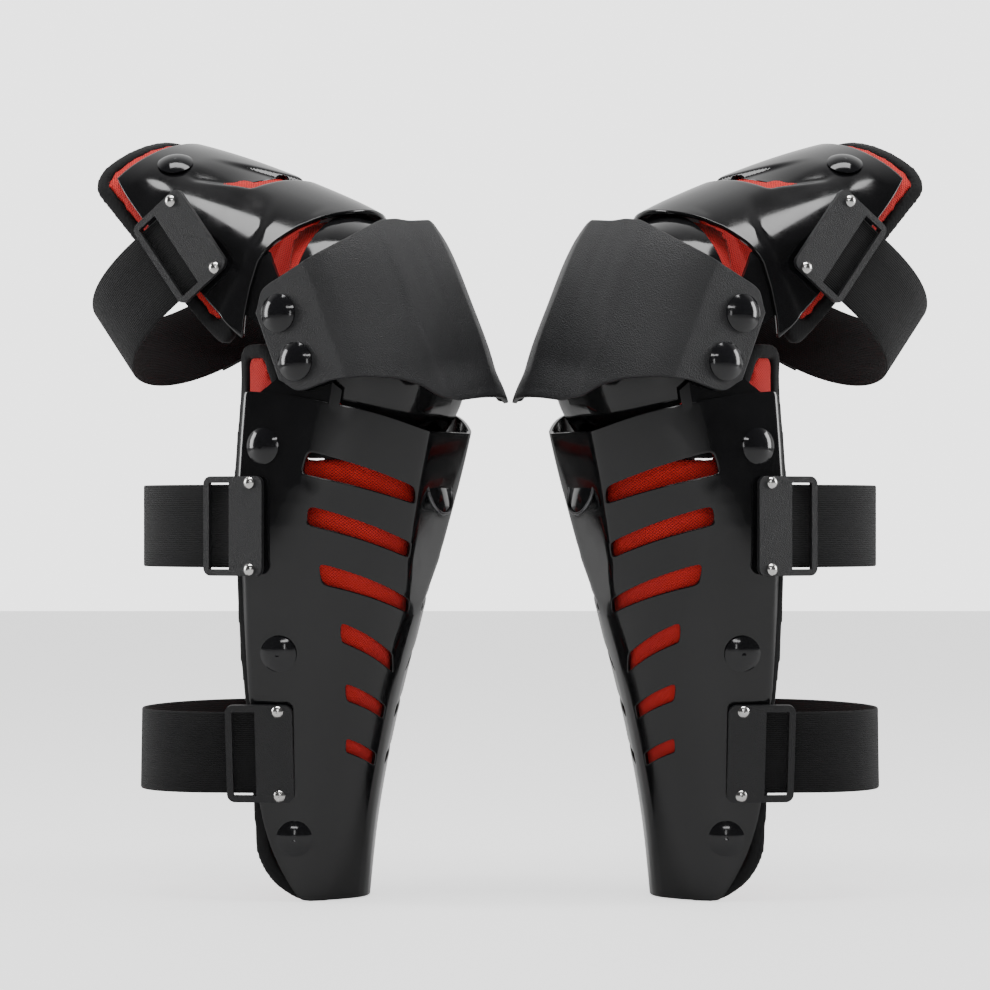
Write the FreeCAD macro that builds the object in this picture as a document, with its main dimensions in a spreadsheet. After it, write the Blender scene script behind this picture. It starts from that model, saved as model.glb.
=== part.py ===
import FreeCAD, Part
import math
import os

import Sketcher
from FreeCAD import Placement, Rotation, Vector

# A pair of hinged motorcycle knee and shin guards, in millimetres.
# Each guard has three rigid bodies: the shin guard, the knee cup on two lower pivots, and the
# thigh guard on two upper pivots. Each body is modelled upright in its own frame, +X forward,
# +Y towards the wearer's left, +Z up the leg, and then placed. The right guard is built and the
# left one is its mirror image in the plane X = 0.

doc = FreeCAD.newDocument("knee_guards")
sheet = doc.addObject("Spreadsheet::Sheet", "sheet")
size = {}

DRIVING = {
    "guard_offset": 105,      # from the plane X = 0 to the shin's axis
    "toe_in": 27,             # each guard's turn about Z from facing along X
    "knee_forward": 6.6,      # middle of the two pivots, in the shin's frame
    "knee_height": 340.5,
    "knee_lean": 22,          # the knee cup's backward lean on the shin
    "thigh_bend": 40,         # the thigh guard's further bend on the knee cup
    "pivot_gap": 31.4,        # upper pivot to lower pivot
    "side_flat": 72,          # half width between the flat side walls
    "shell_wall": 2.6,
    "link_wall": 2.7,
    "layer_gap": 0.3,         # between plates that slide on each other
    "cap_gap": 0.4,
    "cap_wall": 3,
    "cup_wall": 2.8,
    "cup_reach": 64,          # pivot axis to the cup's front
    "cup_corner": 56,
    "cup_up": 57,             # degrees of the cup above and below forward
    "cup_down": 70,
    "ear_radius": 14,
    "pin_radius": 4,
    "pin_play": 0.05,
    "pin_head": 11.5,
    "pin_dome": 5,
    "pin_rim": 1,
    "washer_radius": 10,
    "washer_wall": 2,
    "liner_wall": 5,
    "liner_play": 1,          # between a liner and what lies beside it
    "thigh_liner_gap": 4,     # from the thigh shell's skin to its liner
    "knee_liner_up": 80,
    "knee_liner_down": 55,
    "tape_width": 6.5,
    "tape_gap": 0.1,
    "snap_head": 11,
    "snap_dome": 4,
    "snap_shank": 2.5,
    "snap_rim": 0.6,
    "snap_back": 7,
    "snap_back_wall": 1,
    "snap_ease": 0.8,         # room under the flat back plate on a curved liner
    "hole_play": 0.2,
    "buckle_length": 60,
    "buckle_width": 41,
    "buckle_wall": 3,
    "buckle_frame": 4,
    "buckle_corner": 5,
    "slot_width": 14,
    "strap_width": 50,
    "strap_wall": 1.6,
    "strap_play": 0.2,
    "strap_tail": 60,
    "hook_wall": 1.2,
    "rivet_inset": 9,         # rivet line to the buckle's front edge
    "rivet_spacing": 52,
    "rivet_head": 3.6,
    "rivet_dome": 2.2,
    "rivet_rim": 0.3,
    "rivet_shank": 1.6,
    "rivet_roll": 2.6,
    "rivet_roll_wall": 0.6,
    "badge_radius": 16,
    "badge_wall": 1.2,
    "badge_recess": 0.8,
    "badge_height": 250,
    "facet_low_height": 187,  # the flat front facet's two ends
    "facet_low_front": 54.6,
    "facet_high_height": 280,
    "facet_high_front": 76.9,
}

# Cross sections: height, centre, front and half width of an oval across the leg.
SHIN_STATIONS = {
    "ankle": (-8, -42, 15.5, 50),
    "low_calf": (56, -40, 23.5, 53),
    "mid_calf": (123, -33, 38, 61),
    "high_calf": (193, -18, 58.5, 70),
    "bulge": (237, -9, 71, 75),
    "rim": (285, 0, 84, 78),
    "over_rim": (345, 4, 95, 79),
}
SHIN_LINER_GAP = {
    "ankle": 3.4, "low_calf": 3.6, "mid_calf": 4, "high_calf": 4.4, "bulge": 6.2, "rim": 11.7, "over_rim": 11.8,
}
THIGH_STATIONS = {
    "under_rim": (-20, 0, 70, 78),
    "rim": (29, 0, 69, 78),
    "middle": (94, 0, 61.7, 75),
    "top": (137, 0, 54, 70),
    "over_top": (175, 0, 44, 62),
}
CAP_STATIONS = {
    "lip": (-78, 0, 79, 79),
    "low": (-45, 0, 88, 81),
    "middle": (0, 0, 88.5, 81),
    "high": (35, 0, 86.5, 81),
    "brow": (62, 0, 79, 79),
}
# Vent windows of the shin shell, seen from the side: back top, back bottom, front bottom, front top.
VENT_ROUND = 4.4
VENTS = {
    "vent_one": ((18, 273), (14, 259), (65, 241.5), (67, 252)),
    "vent_two": ((17.5, 240), (16, 229), (59, 209), (61, 218)),
    "vent_three": ((20, 206), (21, 193), (52, 176), (54, 184)),
    "vent_four": ((27, 170), (26, 158), (42, 141), (43.5, 151)),
    "vent_five": ((24.5, 133), (24, 122), (34, 110.5), (35, 118.5)),
    "vent_six": ((21, 99), (20, 91), (27, 81.5), (28, 89)),
}
# Side outlines, as corners with a rounding each.
SHIN_OUTLINE = ((-26, 310, 5), (14, 305, 60), (55, 296, 30), (76, 281, 12), (110, 266, 0), (110, 0, 0), (-28, 0, 38),
                (-29, 123, 200), (-32, 256, 150))
SHIN_TAPE_OUTLINE = ((-41, 337, 10), (-14, 337, 10), (0, 300, 20), (14, 276, 10), (110, 276, 0), (110, -2, 0),
                     (-31, -2, 40), (-33, 123, 200), (-41, 287, 60))
THIGH_OUTLINE = ((-26, 17, 6), (19, 31, 60), (49, 25, 60), (90, -4, 0), (90, 143, 0), (48, 147, 40), (18, 152, 9),
                 (-7, 82, 200))
THIGH_TAPE_OUTLINE = ((-41, 27, 12), (-12, 38, 20), (30, 66, 12), (52, 52, 10), (90, 42, 0), (90, 157, 0),
                      (48, 162, 40), (8, 168, 16), (-20, 90, 200))
CAP_OUTLINE = ((-16, 31, 13), (30, 38, 80), (60, 45, 60), (79, 53, 20), (100, 44, 0), (100, -70, 0), (79, -73, 3), (69, -59.5, 12), (55, -47, 20),
               (25, -39, 40), (-15, -33, 14))
SHIN_LINK_OUTLINE = ((-22, 266, 6), (-22, 304, 10), (-1.3, 318, 10), (-1.3, 340, 13.9), (26.7, 340, 13.9),
                     (30, 318, 10), (52, 296, 6), (46, 276, 8))
THIGH_LINK_OUTLINE = ((-14, -14, 13.9), (14, -14, 13.9), (16, 12, 20), (34, 34, 10), (38, 58, 6), (4, 62, 6),
                      (-12, 36, 20))
THIGH_VENT = ((50, 91, 2), (51.5, 82.5, 1.5), (63.5, 71, 1), (64, 77, 2))
# Height, forward and tilt of each pair of buckles, by their rivet line, and of each pair of snap rivets.
BUCKLES = {"shin_upper": (228, -19, 0), "shin_lower": (91, -12.5, 0), "thigh": (76, 15.5, -25)}
SNAPS = {"shin_high": (276, -12), "shin_mid": (151, -7.5), "shin_low": (38, -8), "thigh_top": (127, 42)}
# How far behind its rivet line each strap's loop reaches.
LOOPS = {"shin_upper": 108, "shin_lower": 122, "thigh": 112}

ROW = [0]
BIG = 400                     # larger than any cut needs
OVAL_POWER = 1.85
OVAL_POINTS = 16
STRAP_STEPS = 24


def put(alias, value):
    """Writes a driving dimension to the next row of the sheet."""
    ROW[0] += 1
    cell = "B%d" % ROW[0]
    sheet.set("A%d" % ROW[0], alias)
    sheet.set(cell, str(value))
    sheet.setAlias(cell, alias)
    size[alias] = float(value)


def fill_sheet():
    for alias, value in DRIVING.items():
        put(alias, value)
    for part, stations in (("shin", SHIN_STATIONS), ("thigh", THIGH_STATIONS), ("cap", CAP_STATIONS)):
        for name, row in stations.items():
            for word, value in zip(("height", "centre", "front", "half"), row):
                put("%s_%s_%s" % (part, name, word), value)
    for name, gap in SHIN_LINER_GAP.items():
        put("liner_gap_%s" % name, gap)
    outlines = {
        "shin_edge": SHIN_OUTLINE, "shin_tape": SHIN_TAPE_OUTLINE, "thigh_edge": THIGH_OUTLINE,
        "thigh_tape": THIGH_TAPE_OUTLINE, "cap_edge": CAP_OUTLINE, "shin_link": SHIN_LINK_OUTLINE,
        "thigh_link": THIGH_LINK_OUTLINE, "thigh_vent": THIGH_VENT, **VENTS,
    }
    for name, corners in outlines.items():
        for i, corner in enumerate(corners):
            put("%s_fwd_%s" % (name, "abcdefghijkl"[i]), corner[0])
            put("%s_up_%s" % (name, "abcdefghijkl"[i]), corner[1])
    for name, place in {**BUCKLES, **SNAPS}.items():
        put("%s_up" % name, place[0])
        put("%s_fwd" % name, place[1])
    for name, place in BUCKLES.items():
        put("%s_tilt" % name, place[2])
    for name, reach in LOOPS.items():
        put("%s_loop" % name, reach)
    doc.recompute()


def layers():
    """Half widths of the plates stacked at each pivot, outermost first."""
    at = {"cap_out": size["side_flat"] + size["cap_gap"] + size["cap_wall"]}
    at["cap_in"] = at["cap_out"] - size["cap_wall"]
    at["link_out"] = size["side_flat"] - size["shell_wall"]
    at["link_in"] = at["link_out"] - size["link_wall"]
    at["cup_out"] = at["link_in"] - size["layer_gap"]
    at["cup_in"] = at["cup_out"] - size["cup_wall"]
    at["washer_in"] = at["cup_in"] - size["washer_wall"]
    at["liner"] = at["washer_in"] - size["liner_play"]
    return at


# ---------------------------------------------------------------- small helpers

def feature(name, shape):
    made = doc.addObject("Part::Feature", name)
    made.Shape = shape
    return made


def outline_sketch(name, alias, corners):
    """A closed outline in the plane Y = 0 whose corners are bound to the sheet."""
    sketch = doc.addObject("Sketcher::SketchObject", name)
    sketch.Placement = Placement(Vector(), Rotation(Vector(1, 0, 0), 90))
    points = [Vector(c[0], c[1], 0) for c in corners]
    count = len(points)
    for i in range(count):
        sketch.addGeometry(Part.LineSegment(points[i], points[(i + 1) % count]))
    for i in range(count):
        sketch.addConstraint(Sketcher.Constraint("Coincident", i, 2, (i + 1) % count, 1))
    for i in range(count):
        for kind, word, value in (("DistanceX", "fwd", points[i].x), ("DistanceY", "up", points[i].y)):
            at = sketch.addConstraint(Sketcher.Constraint(kind, -1, 1, i, 1, value))
            sketch.setExpression("Constraints[%d]" % at, "sheet.%s_%s_%s" % (alias, word, "abcdefghijkl"[i]))
    return sketch


def across_edges(shape):
    """The straight edges that run along Y, as (index, forward, up)."""
    found = []
    for i, edge in enumerate(shape.Edges, 1):
        first, last = edge.Vertexes[0].Point, edge.Vertexes[-1].Point
        if abs(abs(first.y - last.y) - edge.Length) < 1e-6 and edge.Length > 1:
            found.append((i, first.x, first.z))
    return found


def limited(radius, before, here, after):
    """A rounding no larger than the corner's two sides leave room for."""
    back, ahead = before - here, after - here
    half_turn = (math.pi - back.getAngle(ahead)) / 2
    return min(radius, 0.48 * min(back.Length, ahead.Length) / math.tan(half_turn))


def extrude_across(name, base):
    block = doc.addObject("Part::Extrusion", name)
    block.Base = base
    block.Dir = Vector(0, 1, 0)
    block.DirMode = "Custom"
    block.LengthFwd = BIG
    block.Symmetric = True
    block.Solid = True
    return block


def prism(name, alias, corners, default_round=0):
    """An outline carried right across the guard, its corners rounded."""
    sketch = outline_sketch(name + "_sketch", alias, corners)
    block = extrude_across(name + "_block", sketch)
    sketch.recompute()
    block.recompute()
    return rounded_block(name, block, alias, corners, default_round, 0.0)


def rounded_block(name, block, alias, corners, default_round, inset):
    """The block with its corners rounded, each by its outline's rounding less the inset."""
    places = [
        Vector(size["%s_fwd_%s" % (alias, letter)], size["%s_up_%s" % (alias, letter)], 0)
        for letter in "abcdefghijkl"[:len(corners)]
    ]
    rounds = []
    for i, forward, up in across_edges(block.Shape):
        k = min(range(len(places)), key=lambda k: (places[k] - Vector(forward, up, 0)).Length)
        radius = (corners[k][2] if len(corners[k]) > 2 else default_round) - inset
        if radius > 0:
            radius = limited(radius, places[k - 1], places[k], places[(k + 1) % len(places)])
            rounds.append((i, radius, radius))
    rounded = doc.addObject("Part::Fillet", name)
    rounded.Base = block
    rounded.Edges = rounds
    return rounded


def boolean(kind, name, first, *others):
    """Part::Cut, Part::Common or Part::Fuse, one after another."""
    made = first
    for i, other in enumerate(others):
        last = i == len(others) - 1
        step = doc.addObject("Part::" + kind, name if last else "%s_step_%d" % (name, i))
        step.Base = made
        step.Tool = other
        step.Refine = False
        made = step
    return made


def oval(height, centre, front, half):
    """A closed smooth oval across the leg, a little more pointed than an ellipse."""
    depth = front - centre
    points = []
    for i in range(OVAL_POINTS):
        turn = 2 * math.pi * i / OVAL_POINTS
        c, s = math.cos(turn), math.sin(turn)
        points.append(Vector(
            centre + depth * math.copysign(abs(c) ** (2 / OVAL_POWER), c),
            half * math.copysign(abs(s) ** (2 / OVAL_POWER), s),
            height,
        ))
    curve = Part.BSplineCurve()
    steps = [float(i) for i in range(OVAL_POINTS + 1)]
    curve.interpolate(Points=points, PeriodicFlag=True, Parameters=steps)
    return Part.Wire([curve.toShape()])


def skin_solid(part, stations, flat, inset=0.0, insets=None):
    """The solid inside a shell's skin, set inwards by inset, with its sides cut flat."""
    ovals = []
    for name in stations:
        step = inset + (insets[name] if insets else 0.0)
        at = [size["%s_%s_%s" % (part, name, word)] for word in ("height", "centre", "front", "half")]
        ovals.append(oval(at[0], at[1], at[2] - step, at[3] - step))
    solid = Part.makeLoft(ovals, True, False)
    slab = Part.makeBox(2 * BIG, 2 * flat, 2 * BIG, Vector(-BIG, -flat, -BIG))
    return solid.common(slab)


def facet_frame():
    """The facet's lower end, its upward direction and its outward direction."""
    low = Vector(size["facet_low_front"], 0, size["facet_low_height"])
    high = Vector(size["facet_high_front"], 0, size["facet_high_height"])
    along = (high - low).normalize()
    return low, along, Vector(along.z, 0, -along.x)


def facet_tool(inset):
    """The space in front of the shin's flat front facet, set inwards by inset."""
    low, along, out = facet_frame()
    tool = Part.makeBox(BIG, BIG, BIG, Vector(0, -BIG / 2, -BIG / 2))
    tool.Placement = Placement(low - out * inset, Rotation(out, Vector(0, 1, 0), along, "XZY"))
    return tool


def shin_skin(name, flat, inset=0.0, insets=None):
    solid = skin_solid("shin", SHIN_STATIONS, flat, inset, insets)
    facet_inset = inset + (insets["bulge"] if insets else 0.0)
    return feature(name, solid.cut(facet_tool(facet_inset)))


def thigh_skin(name, flat, inset=0.0):
    return feature(name, skin_solid("thigh", THIGH_STATIONS, flat, inset))


def cap_skin(name, flat, inset=0.0):
    return feature(name, skin_solid("cap", CAP_STATIONS, flat, inset))


def rod(name, radius, placement):
    """A round cutting tool along the placement's own Z, reaching both ways."""
    made = doc.addObject("Part::Cylinder", name)
    made.Radius = size[radius.split(" ")[0].replace("sheet.", "")]
    made.setExpression("Radius", radius)
    made.Height = BIG / 4
    made.Placement = placement * Placement(Vector(0, 0, -BIG / 8), Rotation())
    return made


def surface_at(solid, forward, up):
    """The point of a skin's right side at that place, and its outward direction."""
    def meet(x, z):
        ray = Part.makeLine(Vector(x, -BIG, z), Vector(x, 0, z))
        hit = solid.common(ray)
        return Vector(x, min(v.Point.y for v in hit.Vertexes), z)
    here = meet(forward, up)
    along = meet(forward + 1, up) - meet(forward - 1, up)
    above = meet(forward, up + 1) - meet(forward, up - 1)
    out = along.cross(above).normalize()
    return here, out if out.y < 0 else out * -1


def stand_on(solid, forward, up, tilt):
    """The placement of a piece whose own +Z points out of the skin and whose +Y runs up the leg."""
    here, out = surface_at(solid, forward, up)
    upward = Vector(0, 0, 1)
    upward = (upward - out * upward.dot(out)).normalize()
    turn = Rotation(upward.cross(out), upward, out, "ZYX")
    return Placement(here, turn * Rotation(Vector(0, 0, 1), tilt))


def linked(name, source, placement):
    made = doc.addObject("App::Link", name)
    made.LinkedObject = source
    made.Placement = placement
    return made


def both_sides(name, pieces):
    """The pieces on the guard's right side and their mirror images on its left side."""
    right = doc.addObject("Part::Compound", name + "_right_side")
    right.Links = pieces
    left = doc.addObject("Part::Mirroring", name + "_left_side")
    left.Source = right
    left.Normal = (0, 1, 0)
    left.Base = (0, 0, 0)
    pair = doc.addObject("Part::Compound", name)
    pair.Links = [right, left]
    return pair


def body_sketch(body, name, plane):
    sketch = body.newObject("Sketcher::SketchObject", name)
    support = [o for o in body.Origin.OriginFeatures if o.Role == plane][0]
    sketch.AttachmentSupport = [(support, "")]
    sketch.MapMode = "FlatFace"
    return sketch


def bind(sketch, kind, *args, expression):
    at = sketch.addConstraint(Sketcher.Constraint(kind, *args))
    sketch.setExpression("Constraints[%d]" % at, expression)


def circle(sketch, expression, radius, y=0.0, y_expression=None):
    """A circle on the sketch's Y axis with its radius bound to the sheet."""
    geo = sketch.addGeometry(Part.Circle(Vector(0, y, 0), Vector(0, 0, 1), radius))
    if y_expression is None:
        sketch.addConstraint(Sketcher.Constraint("Coincident", geo, 3, -1, 1))
    else:
        sketch.addConstraint(Sketcher.Constraint("PointOnObject", geo, 3, -2))
        bind(sketch, "DistanceY", -1, 1, geo, 3, y, expression=y_expression)
    bind(sketch, "Radius", geo, radius, expression=expression)
    return geo


# ---------------------------------------------------------------- fasteners, each with +Z pointing outwards

def turned(name, corners):
    """A turned piece from half its section, as (radius, height) corners of (value, expression) pairs.
    The first corner is the dome's top on the axis and the second is its rim: an arc joins them."""
    body = doc.addObject("PartDesign::Body", name)
    sketch = body_sketch(body, name + "_section", "XZ_Plane")
    points = [Vector(r[0], h[0], 0) for r, h in corners]
    rise = points[0].y - points[1].y
    radius = (points[1].x ** 2 + rise ** 2) / (2 * rise)
    centre = Vector(0, points[0].y - radius, 0)
    start = math.atan2(points[1].y - centre.y, points[1].x)
    sketch.addGeometry(Part.ArcOfCircle(Part.Circle(centre, Vector(0, 0, 1), radius), start, math.pi / 2))
    count = len(points)
    for i in range(1, count):
        sketch.addGeometry(Part.LineSegment(points[i], points[(i + 1) % count]))
    sketch.addConstraint(Sketcher.Constraint("Coincident", 0, 1, 1, 1))
    for i in range(1, count - 1):
        sketch.addConstraint(Sketcher.Constraint("Coincident", i, 2, i + 1, 1))
    sketch.addConstraint(Sketcher.Constraint("Coincident", count - 1, 2, 0, 2))
    sketch.addConstraint(Sketcher.Constraint("PointOnObject", 0, 3, -2))
    sketch.addConstraint(Sketcher.Constraint("PointOnObject", 0, 2, -2))
    bind(sketch, "DistanceY", -1, 1, 0, 2, points[0].y, expression=corners[0][1][1])
    for i in range(1, count):
        pin_point(sketch, i, points[i], corners[i][0][1], corners[i][1][1])
    turn = body.newObject("PartDesign::Revolution", name + "_turned")
    turn.Profile = sketch
    turn.ReferenceAxis = (sketch, ["V_Axis"])
    turn.Angle = 360
    return body


def pin_point(sketch, line, point, across, up):
    """Binds a line's start to the sheet, or to an axis where no expression is given."""
    if across is None:
        sketch.addConstraint(Sketcher.Constraint("PointOnObject", line, 1, -2))
    else:
        bind(sketch, "DistanceX", -1, 1, line, 1, point.x, expression=across)
    if up is None:
        sketch.addConstraint(Sketcher.Constraint("PointOnObject", line, 1, -1))
    else:
        bind(sketch, "DistanceY", -1, 1, line, 1, point.y, expression=up)


AXIS = (0.0, None)
SEAT = (0.0, None)


def cell(alias):
    return size[alias], "sheet.%s" % alias


def below(*aliases):
    """A depth under the head: minus the sum of those sizes."""
    return -sum(size[alias] for alias in aliases), "-(%s)" % " + ".join("sheet.%s" % alias for alias in aliases)


def snap_rivet(name):
    """A domed press rivet: a head on the shell and a round back plate inside the liner."""
    depth = "grip_%s" % name
    return turned("snap_%s" % name, [
        (AXIS, cell("snap_dome")),
        (cell("snap_head"), cell("snap_rim")),
        (cell("snap_head"), SEAT),
        (cell("snap_shank"), SEAT),
        (cell("snap_shank"), below(depth)),
        (cell("snap_back"), below(depth)),
        (cell("snap_back"), below(depth, "snap_back_wall")),
        (AXIS, below(depth, "snap_back_wall")),
    ])


def buckle_rivet(name, shouldered):
    """A small bright tubular rivet with a rolled end. A shouldered one also holds its plate off the shell."""
    corners = [
        (AXIS, cell("rivet_dome")),
        (cell("rivet_head"), cell("rivet_rim")),
        (cell("rivet_head"), SEAT),
        (cell("rivet_shank"), SEAT),
    ]
    if shouldered:
        corners += [
            (cell("rivet_shank"), below("buckle_wall")),
            (cell("rivet_head"), below("buckle_wall")),
            (cell("rivet_head"), below("buckle_wall", "buckle_lift")),
            (cell("rivet_shank"), below("buckle_wall", "buckle_lift")),
        ]
    depth = ("buckle_wall", "buckle_lift", "shell_wall", "strap_play")
    corners += [
        (cell("rivet_shank"), below(*depth)),
        (cell("rivet_roll"), below(*depth)),
        (cell("rivet_roll"), below(*depth, "rivet_roll_wall")),
        (AXIS, below(*depth, "rivet_roll_wall")),
    ]
    return turned(name, corners)


def pivot_pin():
    """A pivot pin: a domed head on the cap's ear and a shank through every plate."""
    return turned("pivot_pin", [
        (AXIS, cell("pin_dome")),
        (cell("pin_head"), cell("pin_rim")),
        (cell("pin_head"), SEAT),
        (cell("pin_radius"), SEAT),
        (cell("pin_radius"), below("pin_length")),
        (AXIS, below("pin_length")),
    ])


def ring(name, wall):
    """A flat ring on the pivot pin, its wall an alias of the sheet."""
    body = doc.addObject("PartDesign::Body", name)
    sketch = body_sketch(body, name + "_sketch", "XY_Plane")
    circle(sketch, "sheet.washer_radius", size["washer_radius"])
    circle(sketch, "sheet.pin_radius + sheet.pin_play", size["pin_radius"] + size["pin_play"])
    pad_of(body, sketch, name + "_pad", "sheet.%s" % wall)
    return body


def pad_of(body, sketch, name, length):
    pad = body.newObject("PartDesign::Pad", name)
    pad.Profile = sketch
    pad.setExpression("Length", length)
    doc.recompute()
    return pad


def cut_through(body, sketch, name):
    pocket = body.newObject("PartDesign::Pocket", name)
    pocket.Profile = sketch
    pocket.Type = "ThroughAll"
    pocket.Midplane = True
    doc.recompute()
    return pocket


def rectangle(sketch, left, right, half_height):
    """A rectangle about the sketch's X axis from (value, expression) pairs."""
    x = (left[0], right[0], right[0], left[0])
    y = (-half_height[0], -half_height[0], half_height[0], half_height[0])
    for i in range(4):
        k = (i + 1) % 4
        sketch.addGeometry(Part.LineSegment(Vector(x[i], y[i], 0), Vector(x[k], y[k], 0)))
    for i in range(4):
        sketch.addConstraint(Sketcher.Constraint("Coincident", i, 2, (i + 1) % 4, 1))
    for i in (0, 2):
        sketch.addConstraint(Sketcher.Constraint("Horizontal", i))
        sketch.addConstraint(Sketcher.Constraint("Vertical", i + 1))
    bind(sketch, "DistanceX", -1, 1, 0, 1, left[0], expression=left[1])
    bind(sketch, "DistanceX", -1, 1, 2, 1, right[0], expression=right[1])
    bind(sketch, "DistanceY", -1, 1, 0, 1, -half_height[0], expression="-(%s)" % half_height[1])
    bind(sketch, "DistanceY", -1, 1, 2, 1, half_height[0], expression=half_height[1])


def worked(expression):
    """An expression of the sheet's aliases as a (value, expression) pair, in + - * / and plain numbers."""
    total, sign = 0.0, 1
    for word in expression.split():
        if word in "+-":
            sign = 1 if word == "+" else -1
        else:
            alias, _, share = word.partition("/")
            total += sign * size[alias] / float(share or 1)
    bound = " ".join(word if word in "+-" else "sheet." + word for word in expression.split())
    return total, "0 + " + bound if not bound.startswith("-") else "0 " + bound


def buckle_plate():
    """A strap plate, its origin on the rivet line: a rounded rectangle with a strap slot at the back."""
    body = doc.addObject("PartDesign::Body", "buckle_plate")
    sketch = body_sketch(body, "buckle_outline", "XY_Plane")
    rectangle(sketch, worked("rivet_inset - buckle_width"), worked("rivet_inset"), worked("buckle_length/2"))
    pad = pad_of(body, sketch, "buckle_pad", "sheet.buckle_wall")
    upright = [
        "Edge%d" % i for i, e in enumerate(pad.Shape.Edges, 1)
        if abs(e.Vertexes[0].Point.z - e.Vertexes[-1].Point.z) > 1
    ]
    soft = body.newObject("PartDesign::Fillet", "buckle_rounds")
    soft.Base = (pad, upright)
    soft.setExpression("Radius", "sheet.buckle_corner")
    doc.recompute()
    window = body_sketch(body, "buckle_window", "XY_Plane")
    rectangle(window, worked("rivet_inset - buckle_width + buckle_frame"),
              worked("rivet_inset - buckle_width + buckle_frame + slot_width"),
              worked("buckle_length/2 - buckle_frame"))
    cut_through(body, window, "buckle_slot")
    holes = body_sketch(body, "buckle_holes", "XY_Plane")
    for sign in ("", "-"):
        at = float(sign + "1") * size["rivet_spacing"] / 2
        circle(holes, "sheet.rivet_shank + sheet.pin_play", size["rivet_shank"], at, sign + "sheet.rivet_spacing / 2")
    cut_through(body, holes, "buckle_rivet_holes")
    return body


# ---------------------------------------------------------------- the knee cup and its liner

def hood(name, half, reach, corner, wall, up, down):
    """A rounded hood round both pivots, open at the back: a U section carried between the two pivot
    axes and turned about each of them. Its sizes are (value, expression) pairs."""
    body = doc.addObject("PartDesign::Body", name)
    sections = []
    for end, offset in (("low", "-sheet.pivot_gap / 2"), ("high", "sheet.pivot_gap / 2")):
        sketch = body_sketch(body, "%s_%s" % (name, end), "XY_Plane")
        sketch.setExpression(".AttachmentOffset.Base.z", offset)
        u_section(sketch, half, reach, corner, wall)
        sections.append(sketch)
    doc.recompute()
    pad_of(body, sections[0], name + "_middle", "sheet.pivot_gap")
    for sketch, angle, back in ((sections[0], down, False), (sections[1], up, True)):
        turn = body.newObject("PartDesign::Revolution", sketch.Name + "_turn")
        turn.Profile = sketch
        turn.ReferenceAxis = (sketch, ["V_Axis"])
        turn.Reversed = back
        turn.setExpression("Angle", angle)
        doc.recompute()
    return body


def u_section(sketch, half, reach, corner, wall):
    """Half of a rounded rectangle and its inset copy, from the sketch's Y axis forward."""
    rows = []
    for inset, word in ((0.0, "0"), (wall[0], wall[1])):
        w, r, c = half[0] - inset, reach[0] - inset, corner[0] - inset
        made = [
            sketch.addGeometry(Part.LineSegment(Vector(0, w, 0), Vector(r - c, w, 0))),
            sketch.addGeometry(Part.ArcOfCircle(
                Part.Circle(Vector(r - c, w - c, 0), Vector(0, 0, 1), c), 0, math.pi / 2)),
            sketch.addGeometry(Part.LineSegment(Vector(r, w - c, 0), Vector(r, c - w, 0))),
            sketch.addGeometry(Part.ArcOfCircle(
                Part.Circle(Vector(r - c, c - w, 0), Vector(0, 0, 1), c), -math.pi / 2, 0)),
            sketch.addGeometry(Part.LineSegment(Vector(r - c, -w, 0), Vector(0, -w, 0))),
        ]
        top, first, front, second, bottom = made
        for constraint in (
            ("Tangent", top, 2, first, 2), ("Tangent", first, 1, front, 1),
            ("Tangent", front, 2, second, 2), ("Tangent", second, 1, bottom, 1),
            ("Horizontal", top), ("Vertical", front), ("Horizontal", bottom),
            ("PointOnObject", top, 1, -2), ("PointOnObject", bottom, 2, -2), ("Equal", first, second),
        ):
            sketch.addConstraint(Sketcher.Constraint(*constraint))
        bind(sketch, "DistanceY", -1, 1, top, 1, w, expression="%s - (%s)" % (half[1], word))
        bind(sketch, "DistanceY", -1, 1, bottom, 2, -w, expression="-(%s - (%s))" % (half[1], word))
        bind(sketch, "DistanceX", -1, 1, front, 1, r, expression="%s - (%s)" % (reach[1], word))
        bind(sketch, "Radius", first, c, expression="%s - (%s)" % (corner[1], word))
        rows.append(made)
    for here, end in ((0, 1), (4, 2)):
        outer, inner = rows[0][here], rows[1][here]
        a = Vector(0, half[0] if here == 0 else -half[0], 0)
        b = Vector(0, a.y - math.copysign(wall[0], a.y), 0)
        rung = sketch.addGeometry(Part.LineSegment(a, b))
        sketch.addConstraint(Sketcher.Constraint("Coincident", rung, 1, outer, end))
        sketch.addConstraint(Sketcher.Constraint("Coincident", rung, 2, inner, end))


def add_ears(body):
    """Round ears for both pivots on both side walls, and the pin holes."""
    for side, offset in (("right", "sheet.cup_in"), ("left", "-sheet.cup_half")):
        for level, sign in (("upper", ""), ("lower", "-")):
            name = "cup_%s_%s_ear" % (level, side)
            sketch = body_sketch(body, name, "XZ_Plane")
            sketch.setExpression(".AttachmentOffset.Base.z", offset)
            place = float(sign + "1") * size["pivot_gap"] / 2
            circle(sketch, "sheet.ear_radius", size["ear_radius"], place, sign + "sheet.pivot_gap / 2")
            pad_of(body, sketch, name + "_pad", "sheet.cup_wall")
    holes = body_sketch(body, "cup_pin_holes", "XZ_Plane")
    for sign in ("", "-"):
        place = float(sign + "1") * size["pivot_gap"] / 2
        circle(holes, "sheet.pin_radius + sheet.pin_play", size["pin_radius"], place, sign + "sheet.pivot_gap / 2")
    cut_through(body, holes, "cup_bores")
    return body


# ---------------------------------------------------------------- straps

def ribbon(name, stations, width, wall):
    """A flat band through stations of (point, direction of its width, outward direction)."""
    sections = []
    for point, across, out in stations:
        corners = [point + across * (sx * width / 2) + out * (sz * wall / 2)
                   for sx, sz in ((-1, -1), (1, -1), (1, 1), (-1, 1))]
        sections.append(Part.makePolygon(corners + corners[:1]))
    return feature(name, Part.makeLoft(sections, True, True))


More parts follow.
